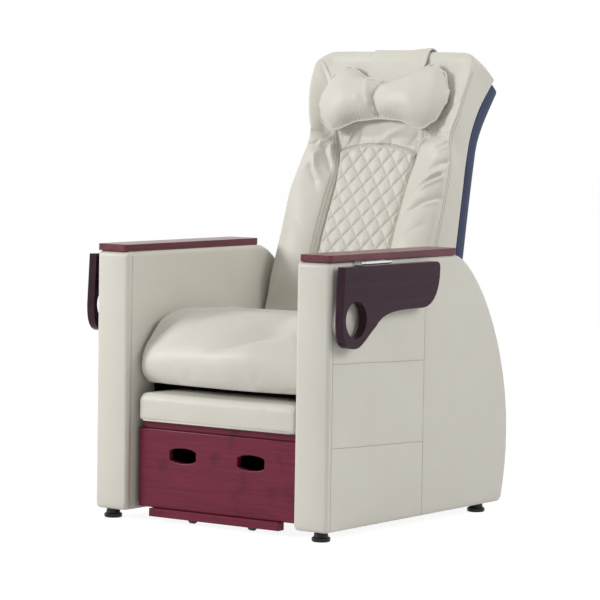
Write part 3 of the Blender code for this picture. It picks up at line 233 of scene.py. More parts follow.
def woodMaterial(name, look):
    material, tree, shader, place = startMaterial(name, look)
    stretch = [1000 / mm for mm in look["grainMm"]]  # grain size along x, y, z
    fibres = grainNoise(tree, place, stretch, {"Detail": 6.0, "Roughness": 0.6})
    bands = grainNoise(tree, place, [s / look["bandCount"] for s in stretch], {"Detail": 2.0, "Distortion": 0.8})
    figure = addNode(tree, "Math", {"operation": 'MULTIPLY_ADD', 1: 0.5}, {0: fibres, 2: bands})
    spread = addNode(tree, "MapRange", {"From Min": 0.5, "From Max": 1.0}, {"Value": figure.outputs[0]})
    colour = toneFrom(tree, look, spread.outputs[0])
    if "knotMm" in look:
        dark = addNode(tree, "MapRange", {"From Min": 0.56, "From Max": 0.74, "To Max": 0.6},
                       {"Value": noiseOf(tree, place, look["knotMm"], 3.0)})
        colour = addNode(tree, "Mix", {"data_type": 'RGBA', 7: linear(look["knot"])},
                         {0: dark.outputs[0], 6: colour}).outputs[2]
    finishSurface(tree, shader, look, colour, fibres, fibres, woodReliefMm)
    return material


def mouldedMaterial(name, look):
    material, tree, shader, place = startMaterial(name, look)
    grit = noiseOf(tree, place, look["gritMm"], 2.0)
    finishSurface(tree, shader, look, toneFrom(tree, look, grit), grit, grit, look["gritMm"] / 8)
    return material


# coated split leather: soft sheen, fine pebbled grain; the grain is drawn twice its real size so that it shows
creamLeather = leatherMaterial("creamLeather", {
    "shader": {"IOR": 1.5, "Specular IOR Level": 0.32},
    "tones": ("#D0CDC4", "#C9C5BA"), "pebbleMm": 2.4, "poreMm": 1.1, "patchMm": 120.0,
    "sheen": (0.40, 0.52), "bump": 0.16,
})
# the same leather dyed dark blue, a little duller
navyLeather = leatherMaterial("navyLeather", {
    "shader": {"IOR": 1.5, "Specular IOR Level": 0.3},
    "tones": ("#333D5A", "#29324C"), "pebbleMm": 2.4, "poreMm": 1.1, "patchMm": 90.0,
    "sheen": (0.40, 0.55), "bump": 0.16,
})
# stained and lacquered hardwood rail, grain along the rail
railWood = woodMaterial("railWood", {
    "shader": {"IOR": 1.5, "Specular IOR Level": 0.30, "Coat Weight": 0.12, "Coat Roughness": 0.20},
    "tones": ("#70333D", "#50212B"), "grainMm": (3.0, 60.0, 3.0), "bandCount": 6.0,
    "sheen": (0.22, 0.40), "bump": 0.10,
})
# stained wood of the foot box, fine level grain and dark spots under thin lacquer
boxWood = woodMaterial("boxWood", {
    "shader": {"IOR": 1.5, "Specular IOR Level": 0.18, "Coat Weight": 0.06, "Coat Roughness": 0.2},
    "tones": ("#722339", "#5D192D"), "grainMm": (24.0, 4.0, 1.0), "bandCount": 6.0,
    "knotMm": 55.0, "knot": "#43101F",
    "sheen": (0.30, 0.50), "bump": 0.15,
})
# dark stained tray under thick gloss lacquer, grain along the tray
trayWood = woodMaterial("trayWood", {
    "shader": {"IOR": 1.5, "Specular IOR Level": 0.10, "Coat Weight": 0.16, "Coat Roughness": 0.10},
    "tones": ("#341526", "#260D1C"), "grainMm": (3.0, 70.0, 3.0), "bandCount": 8.0,
    "sheen": (0.18, 0.30), "bump": 0.06,
})
# bare birch plywood of the hidden frame
birchPly = woodMaterial("birchPly", {
    "shader": {"IOR": 1.5},
    "tones": ("#C9A777", "#A98453"), "grainMm": (80.0, 6.0, 3.0), "bandCount": 5.0,
    "sheen": (0.55, 0.75), "bump": 0.25,
})
# painted shade: the seat's deck and bearers are coloured black, so that the gap above the foot pad stays dark
paintedShadeCloth = mouldedMaterial("paintedShadeCloth", {
    "shader": {"IOR": 1.45, "Specular IOR Level": 0.1},
    "tones": ("#181717", "#0E0D0D"), "gritMm": 1.0, "sheen": (0.80, 0.95), "bump": 0.30,
})
# moulded black polypropylene, fine spark-eroded texture
blackPlastic = mouldedMaterial("blackPlastic", {
    "shader": {"IOR": 1.49, "Specular IOR Level": 0.30},
    "tones": ("#121214", "#0A0A0C"), "gritMm": 0.8, "sheen": (0.24, 0.40), "bump": 0.12,
})
# bright chrome plate on the tray hinge
chromePlate = mouldedMaterial("chromePlate", {
    "shader": {"Metallic": 1.0},
    "tones": ("#E6E8EA", "#D8DADD"), "gritMm": 6.0, "sheen": (0.06, 0.14), "bump": 0.02,
})
# zinc plated steel of the recline works and casters
zincSteel = mouldedMaterial("zincSteel", {
    "shader": {"Metallic": 1.0},
    "tones": ("#B9BCBF", "#9DA0A4"), "gritMm": 3.0, "sheen": (0.28, 0.45), "bump": 0.06,
})
# bonded polyester thread of the seams, darker than the leather
seamThread = mouldedMaterial("seamThread", {
    "shader": {"IOR": 1.5},
    "tones": ("#988C76", "#82765F"), "gritMm": 0.5, "sheen": (0.55, 0.75), "bump": 0.20,
})
# finer thread of the quilting, close to the leather
quiltThread = mouldedMaterial("quiltThread", {
    "shader": {"IOR": 1.5},
    "tones": ("#BCB5A6", "#ACA593"), "gritMm": 0.5, "sheen": (0.55, 0.75), "bump": 0.20,
})
print("materials made")

# rigid nodes keep their CAD shape

rigidFinish = {
    "mahogany": boxWood,
    "tray_lacquer": trayWood,
    "navy_leather": navyLeather,
    "cream_leather": creamLeather,
    "plywood": birchPly,
    "black_plastic": blackPlastic,
    "zinc_steel": zincSteel,
    "chrome": chromePlate,
}
softEdge = {"mahogany": 0.0016, "tray_lacquer": 0.0030}  # sanded edges that catch the light
edgeAngle = {"eased": 40, "kept": 32}  # degrees between faces
joinGap = 0.00001  # metres, closes the facets of a solid


def finishRigidNodes():
    slots = {part["node"]: part["material_slot"] for part in frame["record"]["subparts"]}
    for name, node in nodes.items():
        material = rigidFinish[slots[name]]
        if name.endswith("arm_rail"):
            material = railWood
        # the seat's deck and bearers get the painted shade, black
        elif name == "seat_deck" or name.endswith("seat_bearer"):
            material = paintedShadeCloth
        node.data.materials.clear()
        node.data.materials.append(material)
        node.data.shade_smooth()
        weld = node.modifiers.new("joinFacets", 'WELD')
        weld.merge_threshold = joinGap
        if slots[name] in softEdge:
            bevel = node.modifiers.new("easedEdge", 'BEVEL')
            bevel.width = softEdge[slots[name]]
            bevel.segments = 2
            bevel.limit_method = 'ANGLE'
            bevel.angle_limit = math.radians(edgeAngle["eased"])
            flat = node.modifiers.new("flatFaces", 'WEIGHTED_NORMAL')
            flat.keep_sharp = True
        else:
            split = node.modifiers.new("keepEdges", 'EDGE_SPLIT')
            split.split_angle = math.radians(edgeAngle["kept"])


finishRigidNodes()
print("rigid nodes finished")

# tools for the soft pieces


def newPiece(name, mesh, material, body):
    piece = bpy.data.objects.new(name, mesh)
    scene.collection.objects.link(piece)
    mesh.materials.clear()
    mesh.materials.append(material)
    mesh.shade_smooth()
    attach(piece, body)
    return piece


def cadShape(node):
    bm = bmesh.new()
    bm.from_mesh(nodes[node].data)
    bmesh.ops.remove_doubles(bm, verts=bm.verts, dist=joinGap)
    bmesh.ops.recalc_face_normals(bm, faces=bm.faces)
    return bm


def readVectors(items, field):
    flat = np.zeros(len(items) * 3)
    items.foreach_get(field, flat)
    return flat.reshape(-1, 3)


def readPoints(mesh):
    return readVectors(mesh.vertices, "co")


def readNormals(mesh):
    return readVectors(mesh.vertex_normals, "vector")


def writePoints(mesh, points):
    mesh.vertices.foreach_set("co", points.ravel())
    mesh.update()


def bakeModifiers(piece):
    depsgraph = bpy.context.evaluated_depsgraph_get()
    baked = bpy.data.meshes.new_from_object(piece.evaluated_get(depsgraph))
    old = piece.data
    piece.modifiers.clear()
    piece.data = baked
    bpy.data.meshes.remove(old)
    baked.shade_smooth()


def softPiece(name, node, body, look):
    piece = newPiece(name, meshFrom(name, cadShape(node)), creamLeather, body)
    remesh = piece.modifiers.new("evenMesh", 'REMESH')
    remesh.mode = 'VOXEL'
    remesh.voxel_size = look["voxel"]
    bakeModifiers(piece)
    return piece


def subdivide(piece):
    finer = piece.modifiers.new("finer", 'SUBSURF')
    finer.levels = 1
    finer.render_levels = 1
    bakeModifiers(piece)


def smoothAway(piece, shares, rounds):
    # rubs the CAD facets out of a remeshed piece
    group = piece.vertex_groups.new(name="rubbed")
    for i, share in enumerate(shares):
        group.add([i], float(share), 'REPLACE')
    smooth = piece.modifiers.new("noFacets", 'SMOOTH')
    smooth.factor = 0.5
    smooth.iterations = rounds
    smooth.vertex_group = "rubbed"
    bakeModifiers(piece)
    piece.vertex_groups.clear()


clothFeel = {
    "quality": 4, "mass": 0.4, "tension_stiffness": 12.0, "compression_stiffness": 12.0, "shear_stiffness": 6.0,
}


def swell(piece, pinned, look):
    # what isn't sewn down shrinks by the slack and is then blown up
    normals = readNormals(piece.data)
    writePoints(piece.data, readPoints(piece.data) - normals * look["slack"] * (~pinned)[:, None])
    start = readPoints(piece.data)
    piece.vertex_groups.new(name="sewn").add([int(i) for i in np.nonzero(pinned)[0]], 1.0, 'REPLACE')
    cloth = piece.modifiers.new("swell", 'CLOTH')
    settings = cloth.settings
    for name, value in clothFeel.items():
        setattr(settings, name, value)
    settings.bending_stiffness = look["bending"]
    settings.use_pressure = True
    settings.uniform_pressure_force = look["pressure"]
    settings.vertex_group_mass = "sewn"
    settings.effector_weights.gravity = 0.0
    cloth.point_cache.frame_end = look["frames"]
    for step in range(1, look["frames"] + 1):
        scene.frame_set(step)
    bakeModifiers(piece)
    scene.frame_set(1)
    piece.vertex_groups.clear()
    moved = readPoints(piece.data) - start
    reach = np.linalg.norm(moved, axis=1)
    share = np.minimum(1.0, look["cap"] / np.maximum(reach, 1e-9))
    writePoints(piece.data, start + moved * share[:, None])
    print(piece.name, "swelled by up to", round(float(np.minimum(reach, look["cap"]).max()) * 1000, 1), "mm")


def ease(values, start=0.0, run=1.0):
    # climbs from 0 to 1 over the run, backwards if it is negative
    t = np.clip((values - start) / run, 0.0, 1.0)
    return t * t * (3 - 2 * t)


def hump(values, centre, width):
    return np.exp(-((values - centre) / width) ** 2)


def pathStops(path):
    return np.concatenate([[0.0], np.cumsum(np.linalg.norm(np.diff(path, axis=0), axis=1))])


def pathPlaces(points, path):
    path = np.array(path, float)
    runs = np.diff(path, axis=0)
    stops = pathStops(path)
    best = np.full(len(points), 1e9)
    share = np.zeros(len(points))
    for i, run in enumerate(runs):
        part = np.clip((points - path[i]) @ run / max(run @ run, 1e-12), 0.0, 1.0)
        gap = np.linalg.norm(points - path[i] - part[:, None] * run, axis=1)
        closer = gap < best
        share[closer] = (stops[i] + part[closer] * (stops[i + 1] - stops[i])) / stops[-1]
        best[closer] = gap[closer]
    return best, share


def pathDistance(points, path):
    return pathPlaces(points, path)[0]


def surfaceTree(piece):
    depsgraph = bpy.context.evaluated_depsgraph_get()
    return BVHTree.FromObject(piece, depsgraph)


def evenSteps(path, spacing):
    path = np.array(path, float)
    stops = pathStops(path)
    marks = np.linspace(0.0, stops[-1], max(int(stops[-1] / spacing), 2) + 1)
    return [Vector(p) for p in zip(*[np.interp(marks, stops, path[:, i]) for i in range(3)])]


def tubeMesh(name, path, radius, closed):
    curve = bpy.data.curves.new(name, 'CURVE')
    curve.dimensions = '3D'
    curve.bevel_depth = radius
    curve.bevel_resolution = 3
    curve.use_fill_caps = True
    spline = curve.splines.new('POLY')
    spline.points.add(len(path) - 1)
    spline.use_cyclic_u = closed
    for point, place in zip(spline.points, path):
        point.co = (*place, 1.0)
    drawn = bpy.data.objects.new(name, curve)
    scene.collection.objects.link(drawn)
    bpy.context.view_layer.update()
    mesh = bpy.data.meshes.new_from_object(drawn.evaluated_get(bpy.context.evaluated_depsgraph_get()))
    bpy.data.objects.remove(drawn)
    return mesh


def thicken(mesh, thickness, rounds=0):
    # smooths a sheet, turns it to the front and gives it a thickness
    bm = bmesh.new()
    bm.from_mesh(mesh)
    for _ in range(rounds):
        bmesh.ops.smooth_vert(bm, verts=bm.verts, factor=0.5, use_axis_x=False, use_axis_y=True, use_axis_z=True)
    bm.faces.ensure_lookup_table()
    if bm.faces[0].normal.y > 0:
        bmesh.ops.reverse_faces(bm, faces=bm.faces)
    bmesh.ops.solidify(bm, geom=bm.faces[:], thickness=thickness)
    bmesh.ops.recalc_face_normals(bm, faces=bm.faces)
    bm.to_mesh(mesh)
    bm.free()


def newStitches(name, rows, tree, look, material, body):
    bm = bmesh.new()
    ends = [pair for row in rows for pair in zip(*[iter(evenSteps(row, look["stitch"] / 2))] * 2)]
    for a, b in ends:
        middle, normal = tree.find_nearest((a + b) / 2)[:2]
        if middle is None:
            continue
        turn = (b - a).normalized().to_track_quat('Z', 'Y').to_matrix().to_4x4()
        place = Matrix.Translation(middle + normal * look["proud"]) @ turn
        bmesh.ops.create_cone(bm, cap_ends=True, segments=5, radius1=look["thread"], radius2=look["thread"],
                              depth=look["stitch"] * look["drawn"], matrix=place)
    newPiece(name, meshFrom(name, bm), material, body)


# length from stitch to stitch, thread radius, height over the leather, share of a stitch that shows
stitchLook = {"stitch": 0.007, "thread": 0.00055, "proud": 0.0002, "drawn": 0.72}
quiltStitch = {"stitch": 0.005, "thread": 0.0004, "proud": 0.0, "drawn": 0.72}

# arms

armCover = {
    "grid": 0.035, "gridFrom": (0.05, 0.03),  # cuts that let the leather swell, and where they start, behind and above
    "flatAngle": 0.4, "sharpAngle": 50.0,  # degrees
    "faceGap": 0.0005, "cutGap": 0.00005,
    "swell": 0.0025, "margins": (0.08, 0.12, 0.10, 0.10),  # front, rear, bottom, top
    "uneven": (0.75, 0.5, 9.0),  # least swell, spread, patches to the metre
    "seamHold": 0.35, "seamReach": 0.05,
    "groove": 0.0016, "grooveHalf": 0.0022,
    "uprightSeam": 0.410, "frontSeam": 0.016,  # behind the arm's front
    "levelSeams": (0.2085, 0.4085),
    "levelRise": 0.0150,  # the level seams climb to the front
    "rowEnds": (0.006, 0.008),  # the stitches stop short of the bottom and the top
    "fill": 0.9,
}


def makeArm(side, sign):
    look = armCover
    low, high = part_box(f"{side}_arm")
    bm = cadShape(f"{side}_arm")
    bmesh.ops.dissolve_limit(bm, angle_limit=math.radians(look["flatAngle"]), verts=bm.verts, edges=bm.edges)
    upright = low.y + look["uprightSeam"]
    front = low.y + look["frontSeam"]
    half = look["grooveHalf"]
    shifts = [share * half for share in (-3, -1, 0, 1, 3)]
    slope = look["levelRise"] / look["uprightSeam"]
    cuts = [((0, y + shift, 0), (0, 1, 0)) for y in (upright, front) for shift in shifts]
    cuts += [((0, upright, z + shift), (0, slope, 1)) for z in look["levelSeams"] for shift in shifts]
    cuts += [((0, y, 0), (0, 1, 0)) for y in np.arange(low.y + look["gridFrom"][0], high.y, look["grid"])]
    cuts += [((0, 0, z), (0, 0, 1)) for z in np.arange(low.z + look["gridFrom"][1], high.z, look["grid"])]
    for place, normal in cuts:
        everything = bm.verts[:] + bm.edges[:] + bm.faces[:]
        bmesh.ops.bisect_plane(bm, geom=everything, plane_co=place, plane_no=normal, dist=look["cutGap"])
    bmesh.ops.triangulate(bm, faces=[f for f in bm.faces if len(f.verts) > 4])
    outer = high.x if sign > 0 else -low.x
    inner = outer - (high.x - low.x)
    least, spread, pitch = look["uneven"]
    for vert in bm.verts:
        x, y, z = vert.co
        outside = abs(abs(x) - outer) < look["faceGap"]
        if not outside and abs(abs(x) - inner) >= look["faceGap"]:
            continue
        # leather stands a little proud between its seams and is drawn in along them
        rims = (y - low.y, high.y - y, z - low.z, high.z - z)
        body = min(1.0, *(rim / margin for rim, margin in zip(rims, look["margins"])))
        push = look["swell"] * max(body, 0.0) * (least + spread * noise.noise(Vector((y, z, sign)) * pitch))
        marks = [abs(y - front)]
        if outside:
            marks.append(abs(y - upright))
            if y < upright:
                marks += [abs(z - level - (upright - y) * slope) for level in look["levelSeams"]]
        near = min(marks)
        push *= look["seamHold"] + (1 - look["seamHold"]) * ease(near, 0.0, look["seamReach"])
        push -= look["groove"] * max(0.0, 1.0 - near / (3 * half))
        vert.co.x += sign * push if outside else -sign * push
    piece = newPiece(f"{side}ArmCover", meshFrom(f"{side}ArmCover", bm), creamLeather, "base")
    piece.data.set_sharp_from_angle(angle=math.radians(look["sharpAngle"]))
    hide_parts(f"{side}_arm")
    foot, top = low.z + look["rowEnds"][0], high.z - look["rowEnds"][1]
    face, inside = sign * outer, sign * inner
    rows = [[(x, y, foot), (x, y, top)] for x, y in ((face, upright), (face, front), (inside, front))]
    rise = (upright - front) * slope
    rows += [[(face, upright, level), (face, front, level + rise)] for level in look["levelSeams"]]
    newStitches(f"{side}ArmStitches", rows, surfaceTree(piece), stitchLook, seamThread, "base")


makeArm("left", -1)
makeArm("right", 1)
print("arms covered")

# seat cushion

seatPad = {
    "voxel": 0.007, "slack": 0.005, "pressure": 4.0, "cap": 0.022, "frames": 20, "bending": 4.0, "fill": 0.75,
    "heldLow": 0.004, "heldRear": 0.050, "rub": (0.004, 0.010), "rubRounds": 16,
    "crease": ((0.262, 0.507), (0.19, 0.490), (0.10, 0.468), (0.02, 0.447), (-0.05, 0.432)),  # across, up
    "creaseDepth": 0.017, "creaseAbove": 0.042, "creaseBelow": 0.009, "rollFull": 0.009, "rollReach": 0.024,
    "creaseDeep": (0.16, -0.06), "creaseWide": (-0.05, 0.18),  # where it fades: behind the front, across
    "top": (0.44, 0.04), "sides": (0.10, 0.10),
    # the sides stand as high as the middle: depth behind the front, lift
    "sideLift": ((0.0, 0.004), (0.05, 0.010), (0.10, 0.018), (0.17, 0.019), (0.26, 0.012), (0.39, 0.004),
                 (0.50, -0.006)),
    "rearDrop": 0.010, "rearFrom": (0.28, 0.20),
    "rearReach": 0.0058, "rearLean": 0.26, "rearRise": (0.385, 0.045), "rearBand": 0.045, "rearEase": 0.040,
    "spare": (0.0008, 0.004, 0.010),  # how far it may pass its solid's box
}


def keepInside(points, node, spare):
    # close to the solid's box, and never below it
    low, high = (np.array(corner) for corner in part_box(node))
    return np.clip(points, low - np.multiply(spare, (1, 1, 0)), high + spare)


def makeSeat():
    look = seatPad
    low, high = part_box("seat_cushion")
    piece = softPiece("seatPad", "seat_cushion", "base", look)
    points = readPoints(piece.data)
    rests = (points[:, 2] < low.z + look["heldLow"]) | (points[:, 1] > high.y - look["heldRear"])
    swell(piece, rests, look)
    subdivide(piece)
    smoothAway(piece, ease(readPoints(piece.data)[:, 2] - low.z, *look["rub"]), look["rubRounds"])
    points = readPoints(piece.data)
    normals = readNormals(piece.data)
    across, depth = points[:, 0].copy(), points[:, 1] - low.y
    lift = np.interp(depth, *zip(*look["sideLift"])) * ease(np.abs(across), *look["sides"])
    points[:, 2] += lift * ease(points[:, 2], *look["top"])
    points[:, 2] -= look["rearDrop"] * ease(depth, *look["rearFrom"]) * ease(points[:, 2], *look["top"])
    level = np.interp(across, *[column[::-1] for column in zip(*look["crease"])])
    gap = points[:, 2] - level
    width = np.where(gap > 0, look["creaseAbove"], look["creaseBelow"])
    under = np.maximum(-gap, 0.0) / look["rollReach"]
    sink = look["creaseDepth"] * hump(gap, 0.0, width) - look["rollFull"] * under * np.exp(1 - under)
    sink *= ease(depth, *look["creaseDeep"]) * ease(across, *look["creaseWide"])
    points -= normals * sink[:, None]
    points = keepInside(points, "seat_cushion", look["spare"])
    # the rear edge leans back until it all but touches the backrest
    past = points[:, 1] - high.y + look["rearBand"]
    lean = look["rearReach"] + look["rearLean"] * (points[:, 2] - look["top"][0]).clip(0.0)
    lean *= ease(points[:, 2], *look["rearRise"]) * ease(past, 0.0, look["rearEase"])
    points[:, 1] = np.where(past > 0.0, np.minimum(points[:, 1], high.y) + lean, points[:, 1])
    writePoints(piece.data, points)
    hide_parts("seat_cushion")


makeSeat()
print("seat made")

# backrest: all its places are a distance across and a distance along the cushion's side-view line

backrest = {
    "front": ((0.073, 0.440, 20.0), (0.240, 0.945, 11.0), (0.311, 1.122, 28.0)),  # y, z, lean from upright
    "roll": ((0.311, 1.122, 28.0), (0.343, 1.137, 101.0), (0.427, 1.093, 132.0)),
    "rear": ((0.233, 0.440, 10.5), (0.318, 0.915, 12.0), (0.427, 1.090, 38.0)),
    "curveSteps": 40,
    "half": 0.238, "waistPull": 0.012, "waistLength": 0.045, "headFlare": 0.007,
    "bolster": 0.032, "bolsterLow": 0.040, "bolsterEase": 0.120, "bolsterRound": (2.4, 0.55),
    "bolsterTaper": 0.6, "taperSpan": (0.36, 0.17),
    "sink": 0.0245, "sinkLow": 0.250, "sinkEase": 0.270,
    "headRise": 0.0125, "headEase": 0.06, "headFlat": 0.62, "headBlend": (-0.016, 0.05),  # from the crease
    "headRoll": 0.022, "headRollEase": 0.04, "rollFlat": 0.75, "rollEase": 0.06, "tail": 0.05,
    "crease": 0.535, "creaseDepth": 0.010, "creaseWidth": 0.012, "creaseMiddle": 0.3, "creaseSides": (0.10, 0.05),
    "crown": 0.028, "crownSpan": (0.8, 0.25), "crownEdge": 10,
    "leftPull": 0.020, "pullFrom": (0.125, 0.09), "pullRise": (0.36, 0.15), "pullFall": (0.71, -0.17),
    "pullLift": (-0.09, 0.06),
    "cornerFull": 0.008, "cornerAcross": (0.225, 0.030), "cornerAlong": (0.735, 0.035),
    "headSeam": ((-0.232, 0.735), (-0.205, 0.700), (-0.175, 0.662)),
    "waistSeam": ((0.230, 0.008), (0.16, 0.016)),  # across, above the crease
    "leftSeam": ((-0.232, -0.034), (-0.20, -0.022), (-0.165, -0.006)),
    "sideSeam": (0.05, 0.04, 40), "archSeam": (0.117, 30),  # start, run past the crease, steps; half width, steps
    "seamBeside": 0.001,  # outside the panel
    "furrows": {"side": (0.0040, 0.005), "waist": (0.0060, 0.007), "arch": (0.0030, 0.004),  # depth, width
                "left": (0.0045, 0.006), "head": (0.0035, 0.004)},
    "quiltHalf": 0.110, "quiltLow": 0.063, "quiltHigh": 0.497, "archRise": 0.020, "archHalf": 0.1175,
    "quiltFlare": ((0.0075, 0.42, 0.08), (0.016, 0.50, 0.05)), "panelMost": 0.120, "panelSink": 0.004,
    "faceLift": (-0.034, 0.006), "faceRim": 0.006, "foldFade": (0.8, 0.45, 0.55),
    "cells": (100, 8, 20, 132),  # front, side, rear, rows
    "slack": 0.0, "pressure": 3.0, "cap": 0.009, "frames": 20, "bending": 3.0, "fill": 0.7,
    "sewnRim": 0.006, "looseAlong": (0.06, 0.53), "looseLift": 0.002,
    "headLoose": (0.55, 0.72), "headLooseFrom": 0.200, "headLooseLift": -0.012,
}


def sideCurve(knots):
    line = []
    for (ya, za, leanA), (yb, zb, leanB) in zip(knots, knots[1:]):
        reach = math.dist((ya, za), (yb, zb)) / 3
        a, b = math.radians(leanA), math.radians(leanB)
        handles = ((ya, za), (ya + reach * math.sin(a), za + reach * math.cos(a)),
                   (yb - reach * math.sin(b), zb - reach * math.cos(b)), (yb, zb))
        drawn = interpolate_bezier(*[(*handle, 0.0) for handle in handles], backrest["curveSteps"])
        line += [tuple(p)[:2] for p in drawn[:-1]]
    return line + [knots[-1][:2]]


def measured(line):
    line = np.array(line)
    stops = pathStops(line)
    along = np.gradient(line, stops, axis=0)
    along /= np.linalg.norm(along, axis=1)[:, None]
    normals = np.stack([-along[:, 1], along[:, 0]], axis=1)
    return {"stops": stops, "line": line, "along": along, "normals": normals}


spine = measured(sideCurve(backrest["front"])[:-1] + sideCurve(backrest["roll"]))
rearSpine = measured(sideCurve(backrest["rear"]))
frontLength = measured(sideCurve(backrest["front"]))["stops"][-1]
spineLength = spine["stops"][-1]


def spineAt(along):
    # place and facing of the side-view line, each as y and z
    return [[np.interp(along, spine["stops"], spine[key][:, i]) for i in range(2)] for key in ("line", "normals")]


def onBack(across, along, lift):
    base, facing = spineAt(along)
    return np.stack([across, base[0] + facing[0] * lift, base[1] + facing[1] * lift], axis=-1)


def backPlaces(points):
    side = points[:, 1:]
    nearest = np.zeros(len(side), int)
    batch = 20000  # points at a time, to spare memory
    for start in range(0, len(side), batch):
        part = side[start:start + batch]
        gaps = ((part[:, None, :] - spine["line"][None]) ** 2).sum(2)
        nearest[start:start + batch] = gaps.argmin(1)
    offset = side - spine["line"][nearest]
    along = spine["stops"][nearest] + (offset * spine["along"][nearest]).sum(1)
    lift = (offset * spine["normals"][nearest]).sum(1)
    return along, lift, spine["normals"][nearest]


def backHalf(along):
    look = backrest
    along = np.minimum(along, frontLength)
    waist = hump(along, look["crease"], look["waistLength"])
    head = ease(along, look["crease"], frontLength - look["crease"])
    return look["half"] - look["waistPull"] * waist + look["headFlare"] * head


def quiltEdge(along):
    # the panel widens to its top corners, and its seams spread on up to the pillow
    return backrest["quiltHalf"] + sum(wide * ease(along, *span) for wide, *span in backrest["quiltFlare"])


def quiltTop(across):
    return backrest["quiltHigh"] + backrest["archRise"] * (1 - (across / backrest["archHalf"]) ** 2)


def backDish(along):
    look = backrest
    sunk = look["sink"] * ease(along, look["sinkLow"], look["sinkEase"])
    return sunk - look["headRise"] * ease(along, look["crease"], look["headEase"])


def backTail(along):
    return ease(along, spineLength, -backrest["tail"])


def backLift(across, along):
    look = backrest
    inner = np.minimum(quiltEdge(along), look["panelMost"])
    share = (np.abs(across) - inner) / (backHalf(along) - inner)
    outward = np.clip(share, 0.0, 1.0)
    dish = backDish(along)
    power, root = look["bolsterRound"]
    full = ease(along, look["bolsterLow"], look["bolsterEase"])
    full = full * (1 - look["bolsterTaper"] * ease(along, *look["taperSpan"]))
    bolster = look["bolster"] * full * (1 - np.abs(2 * outward - 1) ** power) ** root - dish * (1 - ease(outward))
    head = look["headRoll"] * ease(along, frontLength, look["headRollEase"]) - dish
    head = head * ease(share, 1.0, look["headFlat"] - 1.0)
    blend = ease(along - look["crease"], *look["headBlend"])
    dip = look["creaseDepth"] * hump(along, look["crease"], look["creaseWidth"]) * (1 - outward ** 4)
    dip = dip * (look["creaseMiddle"] + (1 - look["creaseMiddle"]) * ease(np.abs(across), *look["creaseSides"]))
    rolled = 1 - look["rollFlat"] * ease(along, frontLength, look["rollEase"])
    return (((1 - blend) * bolster + blend * head) * rolled - dip) * backTail(along)


def backPoint(across, along):
    look = backrest
    points = onBack(across, along, backLift(across, along))
    share = np.minimum(np.abs(across) / backHalf(along), 1.0)
    risen = ease(along, *(part * frontLength for part in look["crownSpan"]))
    crown = look["crown"] * risen * (1 - share ** look["crownEdge"]) * backTail(along)
    lean = math.radians(look["front"][-1][2])
    points[..., 1] += crown * math.sin(lean)
    points[..., 2] += crown * math.cos(lean)
    return points


ridges = (  # mm: path from the sewn end, across and along by turns, then height and width
    ((-83, 570, -88, 548, -98, 525, -115, 506), 6, 4.7),
    ((-66, 522, -62, 540, -60, 560), -4.6, 7.8),
    ((-13, 520, 30, 545, 75, 562), 4.4, 9.4),
    ((-16, 519, -17, 532), -4.4, 3.1),
    ((34, 519, 35, 532), -4.4, 3.1),
    ((94, 524, 108, 540, 120, 565), -4.6, 7.8),
    ((225, 640, 190, 600, 150, 580), -4.6, 9.4),
    ((238, 640, 228, 670, 205, 700), 3.4, 7.8),
    ((-188, 480, -172, 445, -125, 398), 8.8, 8),
    ((-165, 495, -135, 453, -110, 415), -10.8, 13),
    ((-192, 446, -165, 415, -135, 365), -8.8, 12),
    ((-141, 508, -134, 484, -110, 447), 8.8, 5.5),
    ((-125, 505, -119, 490, -106, 465), -6.8, 8),
    ((-182, 519, -146, 534), 6.1, 6),
    ((-200, 505, -180, 503, -150, 500), -6.1, 6),
    ((-205, 330, -165, 280, -130, 250), -1.6, 14),
    ((243, 533, 215, 520, 178, 497), -12.1, 10),
    ((236, 520, 205, 505, 180, 488), 4.7, 6),
    ((243, 477, 208, 465, 180, 440), -12.1, 11),
    ((220, 447, 200, 435, 176, 418), 6.1, 6),
    ((222, 437, 188, 418.5, 158, 393), -10.8, 8),
    ((233, 432, 207, 414.6, 160, 386), 6.8, 6),
    ((230, 374, 188, 357, 150, 330, 140, 312), -12.1, 12),
    ((230, 368, 204, 355, 180, 343), 4.7, 6),
    ((205, 300, 175, 280, 155, 255), -3.8, 14),
)


def backSeams():
    # path of each seam, then the depth and width of its furrow
    look = backrest
    crease, beside, furrow = look["crease"], look["seamBeside"], look["furrows"]
    start, past, steps = look["sideSeam"]
    half, archSteps = look["archSeam"]
    seams = []
    for side in (-1, 1):
        panelSide = [(side * (quiltEdge(s) + beside), s) for s in np.linspace(start, crease + past, steps)]
        waist = [(side * x, crease + rise) for x, rise in look["waistSeam"]]
        seams += [(panelSide, *furrow["side"]), (waist, *furrow["waist"])]
    arch = [(x, quiltTop(x) + beside) for x in np.linspace(-half, half, archSteps)]
    left = [(x, crease + rise) for x, rise in look["leftSeam"]]
    return seams + [(arch, *furrow["arch"]), (left, *furrow["left"]), (look["headSeam"], *furrow["head"])]


